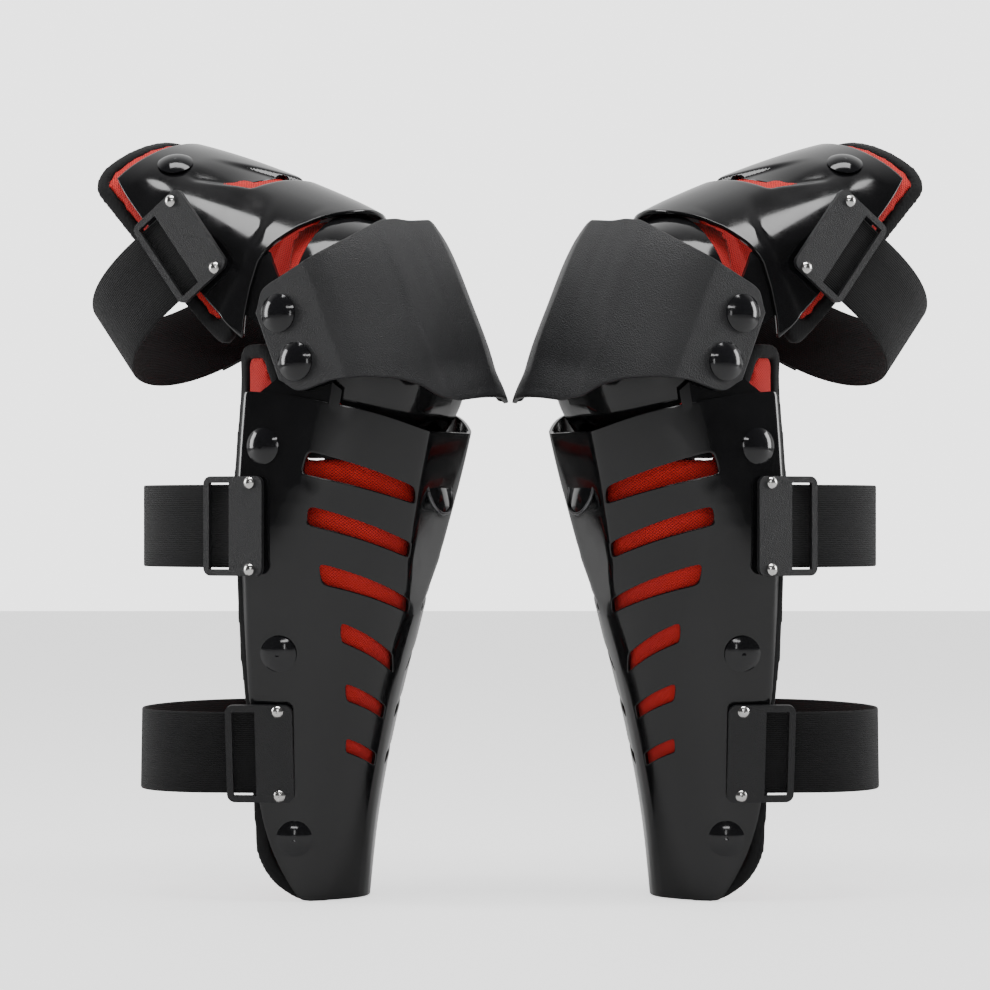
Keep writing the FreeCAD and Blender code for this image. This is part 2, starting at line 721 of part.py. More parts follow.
def mirrored(vector):
    return Vector(vector.x, -vector.y, vector.z)


def strap(name, seat, reach):
    """An elastic strap. Its right end lies clamped under the right buckle. It goes round behind the leg,
    under the left buckle's rear bar, out through its slot, back over the bar, and its tail lies on itself."""
    forward, up, out = (seat.Rotation.multVec(v) for v in (Vector(1, 0, 0), Vector(0, 1, 0), Vector(0, 0, 1)))
    wall, play = size["strap_wall"], size["strap_play"]
    back = size["rivet_inset"] - size["buckle_width"]
    low = play + wall / 2
    high = size["buckle_lift"] + size["buckle_wall"] + play + wall / 2

    def right(along, height):
        return seat.Base + forward * along + out * height

    clamped = [(right(along, low), up, out) for along in (size["rivet_inset"] - 3, back - 4)]
    start = right(back - 6, low)
    handle = (reach + back - 6) / 0.75
    ends = [start, start - forward * handle, mirrored(start - forward * handle), mirrored(start)]
    loop = []
    for i in range(STRAP_STEPS + 1):
        t = i / STRAP_STEPS
        weights = ((1 - t) ** 3, 3 * t * (1 - t) ** 2, 3 * t * t * (1 - t), t ** 3)
        slopes = (-3 * (1 - t) ** 2, 3 * (1 - t) ** 2 - 6 * t * (1 - t), 6 * t * (1 - t) - 3 * t * t, 3 * t * t)
        point, slope = Vector(), Vector()
        for end, weight, rate in zip(ends, weights, slopes):
            point += end * weight
            slope += end * rate
        across = (up * (1 - t) + mirrored(up) * t).normalize()
        loop.append((point, across, across.cross(slope).normalize()))
    radius = (high - low) / 2
    nose = back + size["buckle_frame"] + wall / 2 + 2 * play
    fold = []
    for turn in range(-90, 91, 15):
        c, s = math.cos(math.radians(turn)), math.sin(math.radians(turn))
        normal = mirrored(forward * c + out * s) * -1
        fold.append((mirrored(right(nose + radius * c, (high + low) / 2 + radius * s)), mirrored(up), normal))
    over = [(mirrored(right(back - 1, high)), mirrored(up), mirrored(out) * -1)]
    under_tail = []
    length = 0.0
    for here, before in zip(loop[-2::-1], loop[:0:-1]):
        length += (here[0] - before[0]).Length
        if length < size["strap_tail"]:
            under_tail.append(here)
    lift = wall + size["hook_wall"] + play
    tail = [(point + normal * lift, across, normal * -1) for point, across, normal in under_tail]
    band = ribbon(name + "_band", clamped + loop + fold + over + tail, size["strap_width"], wall)
    hooks = [(point + normal * lift / 2, across, normal) for point, across, normal in under_tail[1:]]
    patch = ribbon(name + "_patch", hooks, size["strap_width"] - size["rivet_inset"], size["hook_wall"])
    return band, patch


# ---------------------------------------------------------------- the three bodies of a guard

def seats(skin, names):
    """Where each named pair of fasteners stands on the skin's right side."""
    return {
        name: stand_on(skin.Shape, size[name + "_fwd"], size[name + "_up"], size.get(name + "_tilt", 0))
        for name in names
    }


def plate_pair(name, outline_name, corners, at, pivot_up, pivot_forward, inside, cuts):
    """A link plate on each side inside the shell, bored for its pivot pin and cleared for its fasteners."""
    block = prism(name + "_outline", outline_name, corners)
    slab = doc.addObject("Part::Box", name + "_slab")
    slab.Length, slab.Width, slab.Height = BIG, size["link_wall"], BIG
    slab.setExpression("Width", "sheet.link_wall")
    slab.Placement = Placement(Vector(-BIG / 2, -at["link_out"], pivot_up - BIG / 2), Rotation())
    bore = rod(name + "_bore", "sheet.pin_radius + sheet.pin_play",
               flat_placement(pivot_forward, pivot_up, at["link_out"]))
    half = boolean("Cut", name + "_plate", boolean("Common", name + "_blank", block, slab, inside), bore, *cuts)
    return both_sides(name, [half])


def flat_placement(forward, up, half):
    """On the guard's right side at that half width, +Z outwards."""
    return Placement(Vector(forward, -half, up), Rotation(Vector(1, 0, 0), 90))


def tape_and_pad(name, alias, corners, outer, inner, holes):
    """A soft liner between two skins, and the folded tape round its edge."""
    rim = prism(name + "_rim", alias, corners)
    hole = doc.addObject("Part::Offset2D", name + "_inset")
    hole.Source = doc.getObject(name + "_rim_sketch")
    hole.setExpression("Value", "-sheet.tape_width")
    edge = doc.addObject("Part::Offset2D", name + "_pad_edge")
    edge.Source = doc.getObject(name + "_rim_sketch")
    edge.setExpression("Value", "-sheet.tape_width - sheet.tape_gap")
    blocks = []
    for source in (hole, edge):
        source.Join = 2
        block = extrude_across(source.Name + "_block", source)
        source.recompute()
        block.recompute()
        blocks.append(rounded_block(source.Name + "_rounded", block, alias, corners, 0, size["tape_width"]))
    wall = boolean("Cut", name + "_wall", outer, inner)
    pad = boolean("Common", name + "_sheet", wall, blocks[1])
    tape = boolean("Cut", name + "_tape", boolean("Common", name + "_tape_blank", wall, rim), blocks[0])
    return boolean("Cut", name + "_pad", pad, *holes), tape


def buckle_set(name, skin, names):
    """The buckles on both sides, their rivets, and the rods that bore the shell for them."""
    plate = doc.getObject("buckle_plate")
    right_plates, right_rivets, left_rivets, rods = [], [], [], []
    for item, seat in seats(skin, names).items():
        lifted = seat * Placement(Vector(0, 0, size["buckle_lift"]), Rotation())
        right_plates.append(linked("%s_%s_plate" % (name, item), plate, lifted))
        for side in (1, -1):
            head = lifted * Placement(
                Vector(0, side * size["rivet_spacing"] / 2, size["buckle_wall"]), Rotation())
            tag = "%s_%s_%s" % (name, item, "high" if side > 0 else "low")
            right_rivets.append(linked(tag + "_rivet", doc.getObject("plain_rivet"), head))
            left_rivets.append(linked(tag + "_shouldered", doc.getObject("shouldered_rivet"), head))
            rods.append(rod(tag + "_bore", "sheet.rivet_shank + sheet.pin_play", head))
    plates = both_sides(name + "_plates", right_plates)
    mirror = doc.addObject("Part::Mirroring", name + "_left_rivets")
    mirror.Source = compound(name + "_left_source", left_rivets)
    mirror.Normal = (0, 1, 0)
    rivets = compound(name + "_rivets", [compound(name + "_right_rivets", right_rivets), mirror])
    return plates, rivets, rods


def compound(name, parts):
    made = doc.addObject("Part::Compound", name)
    made.Links = parts
    return made


def snap_set(name, skin, names):
    """Snap rivets on both sides and the rods that bore for them."""
    right, rods = [], []
    for item, seat in seats(skin, names).items():
        right.append(linked("%s_%s" % (name, item), snap_rivet(item), seat))
        rods.append(rod("%s_%s_bore" % (name, item), "sheet.snap_shank + sheet.hole_play", seat))
    return both_sides(name, right), rods


def wall_depth(inner, seat):
    """How far under a fastener's seat the inner skin lies."""
    axis = seat.Rotation.multVec(Vector(0, 0, 1))
    hit = inner.Shape.common(Part.makeLine(seat.Base, seat.Base - axis * BIG / 4))
    return min((v.Point - seat.Base).Length for v in hit.Vertexes)


def make_skins(at):
    """The surfaces that the shells, liners and cap are cut from."""
    gaps = {name: size["liner_gap_" + name] for name in SHIN_STATIONS}
    wall, pad = size["shell_wall"], size["liner_wall"]
    room = size["thigh_liner_gap"]
    return {
        "shin": shin_skin("shin_outer", size["side_flat"]),
        "shin_in": shin_skin("shin_inner", at["link_out"], wall),
        "shin_pad": shin_skin("shin_pad_outer", at["liner"], 0.0, gaps),
        "shin_pad_in": shin_skin("shin_pad_inner", at["liner"] - pad, pad, gaps),
        "thigh": thigh_skin("thigh_outer", size["side_flat"]),
        "thigh_in": thigh_skin("thigh_inner", at["link_out"], wall),
        "thigh_pad": thigh_skin("thigh_pad_outer", at["liner"], room),
        "thigh_pad_in": thigh_skin("thigh_pad_inner", at["liner"] - pad, room + pad),
        "cap": cap_skin("cap_outer", at["cap_out"]),
        "cap_in": cap_skin("cap_inner", at["cap_in"], size["cap_wall"]),
    }


def fill_derived(at, skins):
    """Sizes that follow from the others, for the sketches to be bound to."""
    put("buckle_lift", size["strap_wall"] + 2 * size["strap_play"])
    put("pin_length", round(at["cap_out"] - at["washer_in"], 3))
    put("spacer_wall", round(at["cap_in"] - at["link_out"] - size["layer_gap"], 3))
    put("cup_in", round(at["cup_in"], 3))
    put("cup_half", round(at["cup_out"], 3))
    put("knee_liner_half", round(at["liner"], 3))
    for name in SNAPS:
        leg = name.split("_")[0]
        seat = seats(skins[leg], [name])[name]
        grip = wall_depth(skins[leg + "_pad_in"], seat) + size["snap_ease"]
        put("grip_" + name, round(grip, 2))
    doc.recompute()


def build_shin(at, skins):
    outer = skins["shin"]
    snaps, snap_rods = snap_set("shin_snap_rivets", outer, ("shin_high", "shin_mid", "shin_low"))
    plates, rivets, rivet_rods = buckle_set("shin_buckles", outer, ("shin_upper", "shin_lower"))
    low, along, out = facet_frame()
    middle = low + along * ((size["badge_height"] - low.z) / along.z)
    facing = Placement(middle - out * size["badge_recess"], Rotation(Vector(0, 0, 1), out))
    badge = doc.addObject("Part::Cylinder", "shin_badge_disc")
    badge.setExpression("Radius", "sheet.badge_radius")
    badge.setExpression("Height", "sheet.badge_wall")
    badge.Placement = facing
    seat = doc.addObject("Part::Cylinder", "shin_badge_recess")
    seat.setExpression("Radius", "sheet.badge_radius + sheet.hole_play")
    seat.Height = 10
    seat.Placement = facing
    vents = [prism(name + "_window", name, corners, VENT_ROUND) for name, corners in VENTS.items()]
    holes = both_sides("shin_shell_bores", snap_rods + rivet_rods)
    blank = boolean("Common", "shin_blank", boolean("Cut", "shin_wall", outer, skins["shin_in"]),
                    prism("shin_edge_block", "shin_edge", SHIN_OUTLINE))
    shell = boolean("Cut", "shin_shell_cut", blank, *vents, seat, holes, snaps, rivets)
    pad, tape = tape_and_pad("shin", "shin_tape", SHIN_TAPE_OUTLINE, skins["shin_pad"], skins["shin_pad_in"],
                             [both_sides("shin_pad_bores", snap_rods), rivets])
    lower = size["pivot_gap"] / 2
    lean = math.radians(size["knee_lean"])
    pivot = (size["knee_forward"] + lower * math.sin(lean), size["knee_height"] - lower * math.cos(lean))
    links = plate_pair("shin_links", "shin_link", SHIN_LINK_OUTLINE, at, pivot[1], pivot[0], skins["shin_in"],
                       snap_rods[:1])
    upper, upper_patch = strap("shin_upper", seats(outer, ["shin_upper"])["shin_upper"], size["shin_upper_loop"])
    low_strap, low_patch = strap("shin_lower", seats(outer, ["shin_lower"])["shin_lower"], size["shin_lower_loop"])
    return {
        "shin_shell": shell,
        "shin_badge": badge,
        "shin_liner": pad,
        "shin_binding": tape,
        "shin_links": links,
        "shin_snap_rivets": snaps,
        "shin_buckles": plates,
        "shin_buckle_rivets": rivets,
        "shin_upper_strap": boolean("Cut", "shin_upper_webbing", upper, *rivet_rods[:2]),
        "shin_lower_strap": boolean("Cut", "shin_lower_webbing", low_strap, *rivet_rods[2:]),
        "shin_strap_patches": compound("shin_patches", [upper_patch, low_patch]),
    }


def build_knee(at, skins):
    half_gap = size["pivot_gap"] / 2
    bores = []
    for level, up in (("upper", half_gap), ("lower", -half_gap)):
        bores.append(rod("cap_%s_bore" % level, "sheet.pin_radius + sheet.pin_play",
                         flat_placement(0, up, at["cap_out"])))
    blank = boolean("Common", "cap_blank", boolean("Cut", "cap_wall_solid", skins["cap"], skins["cap_in"]),
                    prism("cap_edge_block", "cap_edge", CAP_OUTLINE))
    cap = boolean("Cut", "cap_shell", blank, both_sides("cap_bores", bores))
    cup = hood("knee_cup_body", cell("cup_half"), cell("cup_reach"), cell("cup_corner"), cell("cup_wall"),
               "sheet.cup_up", "sheet.cup_down")
    add_ears(cup)
    inside = (size["cup_reach"] - size["cup_wall"] - size["liner_play"],
              "(sheet.cup_reach - sheet.cup_wall - sheet.liner_play)")
    corner = (size["cup_corner"] - size["cup_wall"] - size["liner_play"],
              "(sheet.cup_corner - sheet.cup_wall - sheet.liner_play)")
    pad = hood("knee_liner_body", cell("knee_liner_half"), inside, corner, cell("liner_wall"),
               "sheet.knee_liner_up", "sheet.knee_liner_down")
    pin, spacer, washer = pivot_pin(), ring("pivot_spacer", "spacer_wall"), ring("pivot_washer", "washer_wall")
    made = {"knee_cap": cap, "knee_cup": cup, "knee_liner": pad}
    spacers, washers = [], []
    for level, up in (("upper", half_gap), ("lower", -half_gap)):
        made["%s_pivot_pins" % level] = both_sides("%s_pins" % level, [
            linked("%s_pin" % level, pin, flat_placement(0, up, at["cap_out"]))])
        spacers.append(linked("%s_spacer" % level, spacer,
                              flat_placement(0, up, at["cap_in"] - size["spacer_wall"])))
        washers.append(linked("%s_washer" % level, washer, flat_placement(0, up, at["washer_in"])))
    made["pivot_spacers"] = both_sides("knee_spacers", spacers)
    made["pivot_washers"] = both_sides("knee_washers", washers)
    return made


def build_thigh(at, skins):
    outer = skins["thigh"]
    snaps, snap_rods = snap_set("thigh_snap_rivets", outer, ["thigh_top"])
    plates, rivets, rivet_rods = buckle_set("thigh_buckles", outer, ["thigh"])
    holes = both_sides("thigh_shell_bores", snap_rods + rivet_rods)
    vent = prism("thigh_vent_window", "thigh_vent", THIGH_VENT)
    blank = boolean("Common", "thigh_blank", boolean("Cut", "thigh_wall", outer, skins["thigh_in"]),
                    prism("thigh_edge_block", "thigh_edge", THIGH_OUTLINE))
    shell = boolean("Cut", "thigh_shell_cut", blank, vent, holes, snaps, rivets)
    pad, tape = tape_and_pad("thigh", "thigh_tape", THIGH_TAPE_OUTLINE, skins["thigh_pad"], skins["thigh_pad_in"],
                             [both_sides("thigh_pad_bores", snap_rods), rivets])
    band, patch = strap("thigh", seats(outer, ["thigh"])["thigh"], size["thigh_loop"])
    return {
        "thigh_shell": shell,
        "thigh_links": plate_pair("thigh_links", "thigh_link", THIGH_LINK_OUTLINE, at, 0, 0, skins["thigh_in"],
                                  [*rivet_rods, rivets]),
        "thigh_liner": pad,
        "thigh_binding": tape,
        "thigh_snap_rivets": snaps,
        "thigh_buckles": plates,
        "thigh_buckle_rivets": rivets,
        "thigh_strap": boolean("Cut", "thigh_webbing", band, *rivet_rods),
        "thigh_strap_patch": patch,
    }


def main():
    fill_sheet()
    at = layers()
    skins = make_skins(at)
    fill_derived(at, skins)
    buckle_plate()
    buckle_rivet("plain_rivet", False)
    buckle_rivet("shouldered_rivet", True)
    guard = Placement(Vector(-size["guard_offset"], 0, 0), Rotation(Vector(0, 0, 1), -size["toe_in"]))
    knee = guard * Placement(Vector(size["knee_forward"], 0, size["knee_height"]),
                             Rotation(Vector(0, 1, 0), -size["knee_lean"]))
    thigh = knee * Placement(Vector(0, 0, size["pivot_gap"] / 2), Rotation(Vector(0, 1, 0), -size["thigh_bend"]))
    nodes = []
    for placement, parts in ((guard, build_shin(at, skins)), (knee, build_knee(at, skins)),
                             (thigh, build_thigh(at, skins))):
        for name, source in parts.items():
            right = compound("right_" + name, [source])
            right.Placement = placement
            right.Label = "right_" + name
            left = doc.addObject("Part::Mirroring", "left_" + name)
            left.Source = right
            left.Normal = (1, 0, 0)
            left.Label = "left_" + name
            nodes += [right, left]
    doc.recompute()
    write(nodes)


def write(nodes):
    faulty = [o.Name for o in doc.Objects if "Invalid" in o.State or "Error" in o.State]
    if faulty:
        raise RuntimeError("failed objects: %s" % faulty)
    for node in nodes:
        if node.Shape.isNull() or not node.Shape.isValid() or not node.Shape.Solids:
            raise RuntimeError("bad shape: %s" % node.Label)
    os.makedirs("parts", exist_ok=True)
    for node in nodes:
        solids = node.Shape.Solids
        shape = solids[0] if len(solids) == 1 else Part.makeCompound(solids)
        shape.exportStep("parts/%s.step" % node.Label)
        print("%-28s %2d solids %9.0f mm3" % (node.Label, len(solids), shape.Volume))
    everything = Part.makeCompound([node.Shape for node in nodes]).BoundBox
    print("box", everything)


main()
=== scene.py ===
import math

import bmesh
import bpy
import numpy as np
from mathutils import Matrix, Vector
from mathutils.bvhtree import BVHTree


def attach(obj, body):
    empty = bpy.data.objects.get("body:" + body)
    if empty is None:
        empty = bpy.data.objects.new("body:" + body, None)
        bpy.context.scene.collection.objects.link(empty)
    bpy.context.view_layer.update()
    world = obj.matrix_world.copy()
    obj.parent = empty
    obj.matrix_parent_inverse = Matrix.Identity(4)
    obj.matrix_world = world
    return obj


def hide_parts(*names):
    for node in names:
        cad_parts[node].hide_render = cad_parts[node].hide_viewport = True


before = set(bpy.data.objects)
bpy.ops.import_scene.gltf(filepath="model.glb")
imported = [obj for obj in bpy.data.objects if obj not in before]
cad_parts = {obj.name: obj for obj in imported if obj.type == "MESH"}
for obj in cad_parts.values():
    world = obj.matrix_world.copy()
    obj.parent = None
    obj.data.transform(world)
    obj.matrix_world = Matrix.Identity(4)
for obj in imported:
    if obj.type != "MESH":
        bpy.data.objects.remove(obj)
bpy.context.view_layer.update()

# The right guard is modelled in its bodies' own frames, in millimetres: +X forward, +Y to the
# wearer's left, +Z up the leg. The left guard is its mirror image in the plane X = 0.
GUARD_OFFSET = 105
TOE_IN = math.radians(27)
KNEE_LEAN = math.radians(22)
THIGH_BEND = math.radians(40)
KNEE_PLACE = Vector((6.6, 0, 340.5))
PIVOT_GAP = 31.4
SIDE_FLAT = 72
SHELL_WALL = 2.6
OVAL_POWER = 1.85
SHIN_ROWS = ((-8, -42, 15.5, 50), (56, -40, 23.5, 53), (123, -33, 38, 61), (193, -18, 58.5, 70),
             (237, -9, 71, 75), (285, 0, 84, 78), (345, 4, 95, 79))
THIGH_ROWS = ((-20, 0, 70, 78), (29, 0, 69, 78), (94, 0, 61.7, 75), (137, 0, 54, 70), (175, 0, 44, 62))
CAP_ROWS = ((-78, 0, 79, 79), (-45, 0, 88, 81), (0, 0, 88.5, 81), (35, 0, 86.5, 81), (62, 0, 79, 79))

SHIN = (Matrix.Scale(0.001, 4) @ Matrix.Translation((-GUARD_OFFSET, 0, 0))
        @ Matrix.Rotation(-TOE_IN, 4, "Z"))
KNEE = SHIN @ Matrix.Translation(KNEE_PLACE) @ Matrix.Rotation(-KNEE_LEAN, 4, "Y")
THIGH = KNEE @ Matrix.Translation((0, 0, PIVOT_GAP / 2)) @ Matrix.Rotation(-THIGH_BEND, 4, "Y")
FRAMES = {"shin": SHIN, "knee": KNEE, "thigh": THIGH}


# ------------------------------------------------------------------ materials

class Finish:
    """A node-based material: its shader, and short ways to add nodes in front of it."""

    def __init__(self, name, **sockets):
        self.material = bpy.data.materials.new(name)
        self.material.use_nodes = True
        self.tree = self.material.node_tree
        self.shader = self.tree.nodes["Principled BSDF"]
        for socket, value in sockets.items():
            self.shader.inputs[socket.replace("_", " ")].default_value = value
        self.place = self.tree.nodes.new("ShaderNodeTexCoord").outputs["Object"]

    def add(self, kind, inputs=None, **settings):
        node = self.tree.nodes.new("ShaderNode" + kind)
        for key, value in settings.items():
            setattr(node, key, value)
        for key, value in (inputs or {}).items():
            if isinstance(value, bpy.types.NodeSocket):
                self.tree.links.new(value, node.inputs[key])
            else:
                node.inputs[key].default_value = value
        return node

    def noise(self, scale, detail, at=None):
        return self.add("TexNoise", {"Vector": at or self.place, "Scale": scale, "Detail": detail}).outputs[0]

    def ramp(self, value, stops):
        node = self.add("ValToRGB", {"Fac": value})
        while len(node.color_ramp.elements) < len(stops):
            node.color_ramp.elements.new(0.5)
        for element, (position, colour) in zip(node.color_ramp.elements, stops):
            element.position = position
            element.color = (*colour, 1)
        return node.outputs[0]

    def spread(self, value, low, high, start=0.0, end=1.0):
        node = self.add("MapRange", {"Value": value, "From Min": start, "From Max": end,
                                     "To Min": low, "To Max": high})
        return node.outputs[0]

    def math(self, kind, first, second=0.0):
        return self.add("Math", {0: first, 1: second}, operation=kind).outputs[0]

    def mix(self, fac, first, second):
        return self.add("Mix", {0: fac, 6: first, 7: second}, data_type="RGBA").outputs[2]

    def colour(self, value):
        self.tree.links.new(value, self.shader.inputs["Base Color"])

    def roughness(self, value):
        self.tree.links.new(value, self.shader.inputs["Roughness"])

    def bump(self, height, strength, distance):
        normal = self.add("Bump", {"Height": height, "Strength": strength, "Distance": distance}).outputs[0]
        self.tree.links.new(normal, self.shader.inputs["Normal"])


def gloss_plastic(name, colour, wave):
    """Injection-moulded black plastic: deep gloss, a slow unevenness, dust and hairline scuffs."""
    made = Finish(name, IOR=1.46, Coat_Weight=0.2, Coat_Roughness=0.04)
    patch = made.noise(14, 4)
    made.colour(made.ramp(patch, ((0.3, colour), (0.75, tuple(c * 1.5 + 0.002 for c in colour)))))
    haze = made.noise(60, 5)
    stretch = made.add("Mapping", {"Vector": made.place, "Scale": (900, 900, 40)}).outputs[0]
    hairs = made.noise(1, 2, stretch)
    made.roughness(made.math("ADD", made.spread(haze, 0.07, 0.17, 0.3, 0.7),
                             made.spread(hairs, 0, 0.05, 0.62, 0.72)))
    made.bump(made.noise(9, 2), wave, 0.004)
    return made.material


def matte_plastic(name, colour, grain):
    """Grained black plastic with a satin sheen and slightly polished high spots."""
    made = Finish(name, IOR=1.47)
    cells = made.add("TexVoronoi", {"Vector": made.place, "Scale": grain}, feature="SMOOTH_F1")
    fine = made.noise(grain * 1.7, 3)
    patch = made.noise(18, 4)
    made.colour(made.ramp(patch, ((0.3, colour), (0.8, tuple(c * 1.35 for c in colour)))))
    made.roughness(made.math("ADD", made.spread(patch, 0.42, 0.55, 0.3, 0.7), made.spread(fine, -0.05, 0.06)))
    made.bump(made.math("ADD", cells.outputs["Distance"], made.math("MULTIPLY", fine, 0.6)), 0.6, 0.0005)
    return made.material


def metal(name, colour, rough, grain):
    """Plated or bare steel with uneven tone and polish."""
    made = Finish(name, Metallic=1.0)
    patch = made.noise(grain, 4)
    made.colour(made.ramp(patch, ((0.3, tuple(c * 0.8 for c in colour)), (0.7, colour))))
    made.roughness(made.spread(patch, rough * 0.7, rough * 1.5, 0.3, 0.7))
    made.bump(made.noise(grain * 12, 2), 0.12, 0.0002)
    return made.material


def uv_place(made):
    """A fabric's own coordinates in millimetres: along it and across it."""
    uv = made.add("UVMap", uv_map="weave").outputs[0]
    return made.add("SeparateXYZ", {0: uv}).outputs


def knit_mesh(name, colour, hole_shade):
    """Padded spacer mesh: rows of small staggered holes between soft ribs of bright yarn, the holes painted a
    dark red as painted shade.
    """
    made = Finish(name, Roughness=0.75, Sheen_Weight=0.35, Sheen_Roughness=0.45)
    made.shader.inputs["Sheen Tint"].default_value = (1.0, 0.25, 0.2, 1)
    parts = uv_place(made)
    pitch = 2.3
    across = made.math("MULTIPLY", parts[0], math.pi / pitch)
    along = made.math("MULTIPLY", parts[1], math.pi / (pitch * 0.8))
    wave = made.math("MULTIPLY", made.math("COSINE", made.math("ADD", across, along)),
                     made.math("COSINE", made.math("SUBTRACT", across, along)))
    hole = made.spread(made.math("ABSOLUTE", wave), 0, 1, 0.25, 0.95)
    thread = made.noise(2200, 2)
    patch = made.noise(30, 3)
    bright = made.ramp(patch, ((0.3, colour), (0.75, tuple(min(1, c * 1.25) for c in colour))))
    # The holes take the dark red colour: painted shade inside the mesh's holes.
    made.colour(made.mix(made.math("MULTIPLY", hole, 0.8), bright, (*hole_shade, 1)))
    made.bump(made.math("SUBTRACT", made.math("MULTIPLY", thread, 0.25), hole), 0.8, 0.0006)
    return made.material


def webbing(name, colour):
    """Elastic webbing: fine ribs along it, crossed by the weft."""
    made = Finish(name, Sheen_Weight=0.08, Sheen_Roughness=0.4, Specular_IOR_Level=0.3)
    parts = uv_place(made)
    rib = made.math("SINE", made.math("MULTIPLY", parts[1], 2 * math.pi / 1.25))
    weft = made.math("SINE", made.math("MULTIPLY", parts[0], 2 * math.pi / 0.9))
    weave = made.math("ADD", made.math("MULTIPLY", rib, 0.6),
                      made.math("MULTIPLY", made.math("MULTIPLY", rib, weft), 0.4))
    fuzz = made.noise(2600, 3)
    height = made.math("ADD", weave, made.math("MULTIPLY", fuzz, 0.5))
    # The colour follows the weave's height: darker in its hollows as painted shade and lighter on its ribs as
    # painted highlight, partly random fibre tone from the fuzz.
    made.colour(made.ramp(made.spread(height, 0, 1, -1, 1.4),
                          ((0.0, tuple(c * 0.45 for c in colour)), (0.9, tuple(c * 1.7 for c in colour)))))
    made.roughness(made.spread(fuzz, 0.7, 0.95))
    made.bump(height, 0.6, 0.0004)
    return made.material


def cloth(name, colour, scale):
    """Plain woven or brushed cloth on object coordinates."""
    made = Finish(name, Sheen_Weight=0.08, Sheen_Roughness=0.4, Specular_IOR_Level=0.3)
    cells = made.add("TexVoronoi", {"Vector": made.place, "Scale": scale, "Randomness": 0.35})
    fuzz = made.noise(scale * 1.5, 3)
    height = made.math("ADD", cells.outputs["Distance"], made.math("MULTIPLY", fuzz, 0.5))
    # The colour follows the cloth's height: darker in the cells' hollows as painted shade and lighter on their
    # rims as painted highlight, partly random fibre tone from the fuzz.
    made.colour(made.ramp(height, ((0.2, tuple(c * 0.6 for c in colour)),
                                   (1.0, tuple(c * 1.6 for c in colour)))))
    made.roughness(made.spread(fuzz, 0.75, 0.95))
    made.bump(height, 0.5, 0.0004)
    return made.material


FINISHES = {
    "gloss_shell": gloss_plastic("gloss_shell_plastic", (0.0045, 0.0045, 0.005), 0.12),
    "gloss_plate": gloss_plastic("gloss_plate_plastic", (0.0055, 0.0055, 0.006), 0.08),
    "matte_cap": matte_plastic("matte_cap_plastic", (0.015, 0.015, 0.0162), 1500),
    "matte_buckle": matte_plastic("matte_buckle_plastic", (0.012, 0.012, 0.013), 1800),
    "black_rivet": gloss_plastic("black_rivet_paint", (0.006, 0.006, 0.007), 0.05),
    "bright_rivet": metal("bright_rivet_nickel", (0.78, 0.77, 0.75), 0.18, 300),
    "badge": gloss_plastic("badge_plate", (0.01, 0.01, 0.011), 0.03),
    "badge_ring": metal("badge_ring_satin", (0.16, 0.16, 0.165), 0.35, 400),
    "red_mesh_pad": knit_mesh("red_mesh_fabric", (0.72, 0.012, 0.01), (0.12, 0.002, 0.002)),
    "edge_tape": cloth("edge_tape_cloth", (0.007, 0.007, 0.0075), 1100),
    "elastic_webbing": webbing("elastic_webbing_cloth", (0.0065, 0.0065, 0.007)),
    "hook_patch": cloth("hook_patch_cloth", (0.008, 0.008, 0.009), 700),
    "washer_plastic": matte_plastic("washer_plastic_nylon", (0.02, 0.02, 0.02), 900),
    "washer_steel": metal("washer_steel_plate", (0.55, 0.55, 0.56), 0.3, 200),
}


# ------------------------------------------------------------------ shared mesh helpers

def own(name, mesh, slot):
    """An object for a mesh already in its place, wearing that slot's finish."""
    made = bpy.data.objects.new(name, mesh)
    made["slot_name"] = slot
    bpy.context.scene.collection.objects.link(made)
    mesh.materials.clear()
    mesh.materials.append(FINISHES[slot])
    mesh.shade_smooth()
    return made


def applied(made):
    """The object with its modifiers turned into plain mesh."""
    bpy.context.view_layer.update()
    graph = bpy.context.evaluated_depsgraph_get()
    mesh = bpy.data.meshes.new_from_object(made.evaluated_get(graph))
    made.modifiers.clear()
    old, made.data = made.data, mesh
    bpy.data.meshes.remove(old)
    return made


def mirror_mesh(mesh):
    """The mesh's mirror image in the plane X = 0, its faces outwards again."""
    copy = mesh.copy()
    copy.transform(Matrix.Scale(-1, 4, (1, 0, 0)))
    copy.flip_normals()
    copy.validate()
    return copy


def pair(made, body, *nodes, pad=None):
    """Hands a finished right piece and its mirror image to the frame, in place of those nodes."""
    slot = made["slot_name"]
    left = own(made.name.replace("right_", "left_"), mirror_mesh(made.data), slot)
    for piece, side in ((made, "right_"), (left, "left_")):
        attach(piece, side + body)
        if nodes:
            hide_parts(*[side + node for node in nodes])
    return made, left


def merged_copy(node, name, slot):
    """A copy of a CAD node with its loose triangles joined."""
    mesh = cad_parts[node].data.copy()
    shape = bmesh.new()
    shape.from_mesh(mesh)
    bmesh.ops.remove_doubles(shape, verts=shape.verts, dist=0.00002)
    shape.to_mesh(mesh)
    shape.free()
    return own(name, mesh, slot)


def weave_map(mesh, places):
    """Gives each corner of a mesh its vertex's own place in the weave, in millimetres."""
    layer = mesh.uv_layers.new(name="weave")
    index = np.zeros(len(mesh.loops), np.int32)
    mesh.loops.foreach_get("vertex_index", index)
    layer.data.foreach_set("uv", np.asarray(places, np.float32)[index].ravel())


def local_points(mesh, place):
    """The mesh's vertices in a body's own frame, in millimetres, one to a line."""
    points = np.zeros(len(mesh.vertices) * 3)
    mesh.vertices.foreach_get("co", points)
    turn = np.array(place.inverted())
    return points.reshape(-1, 3) @ turn[:3, :3].T + turn[:3, 3]


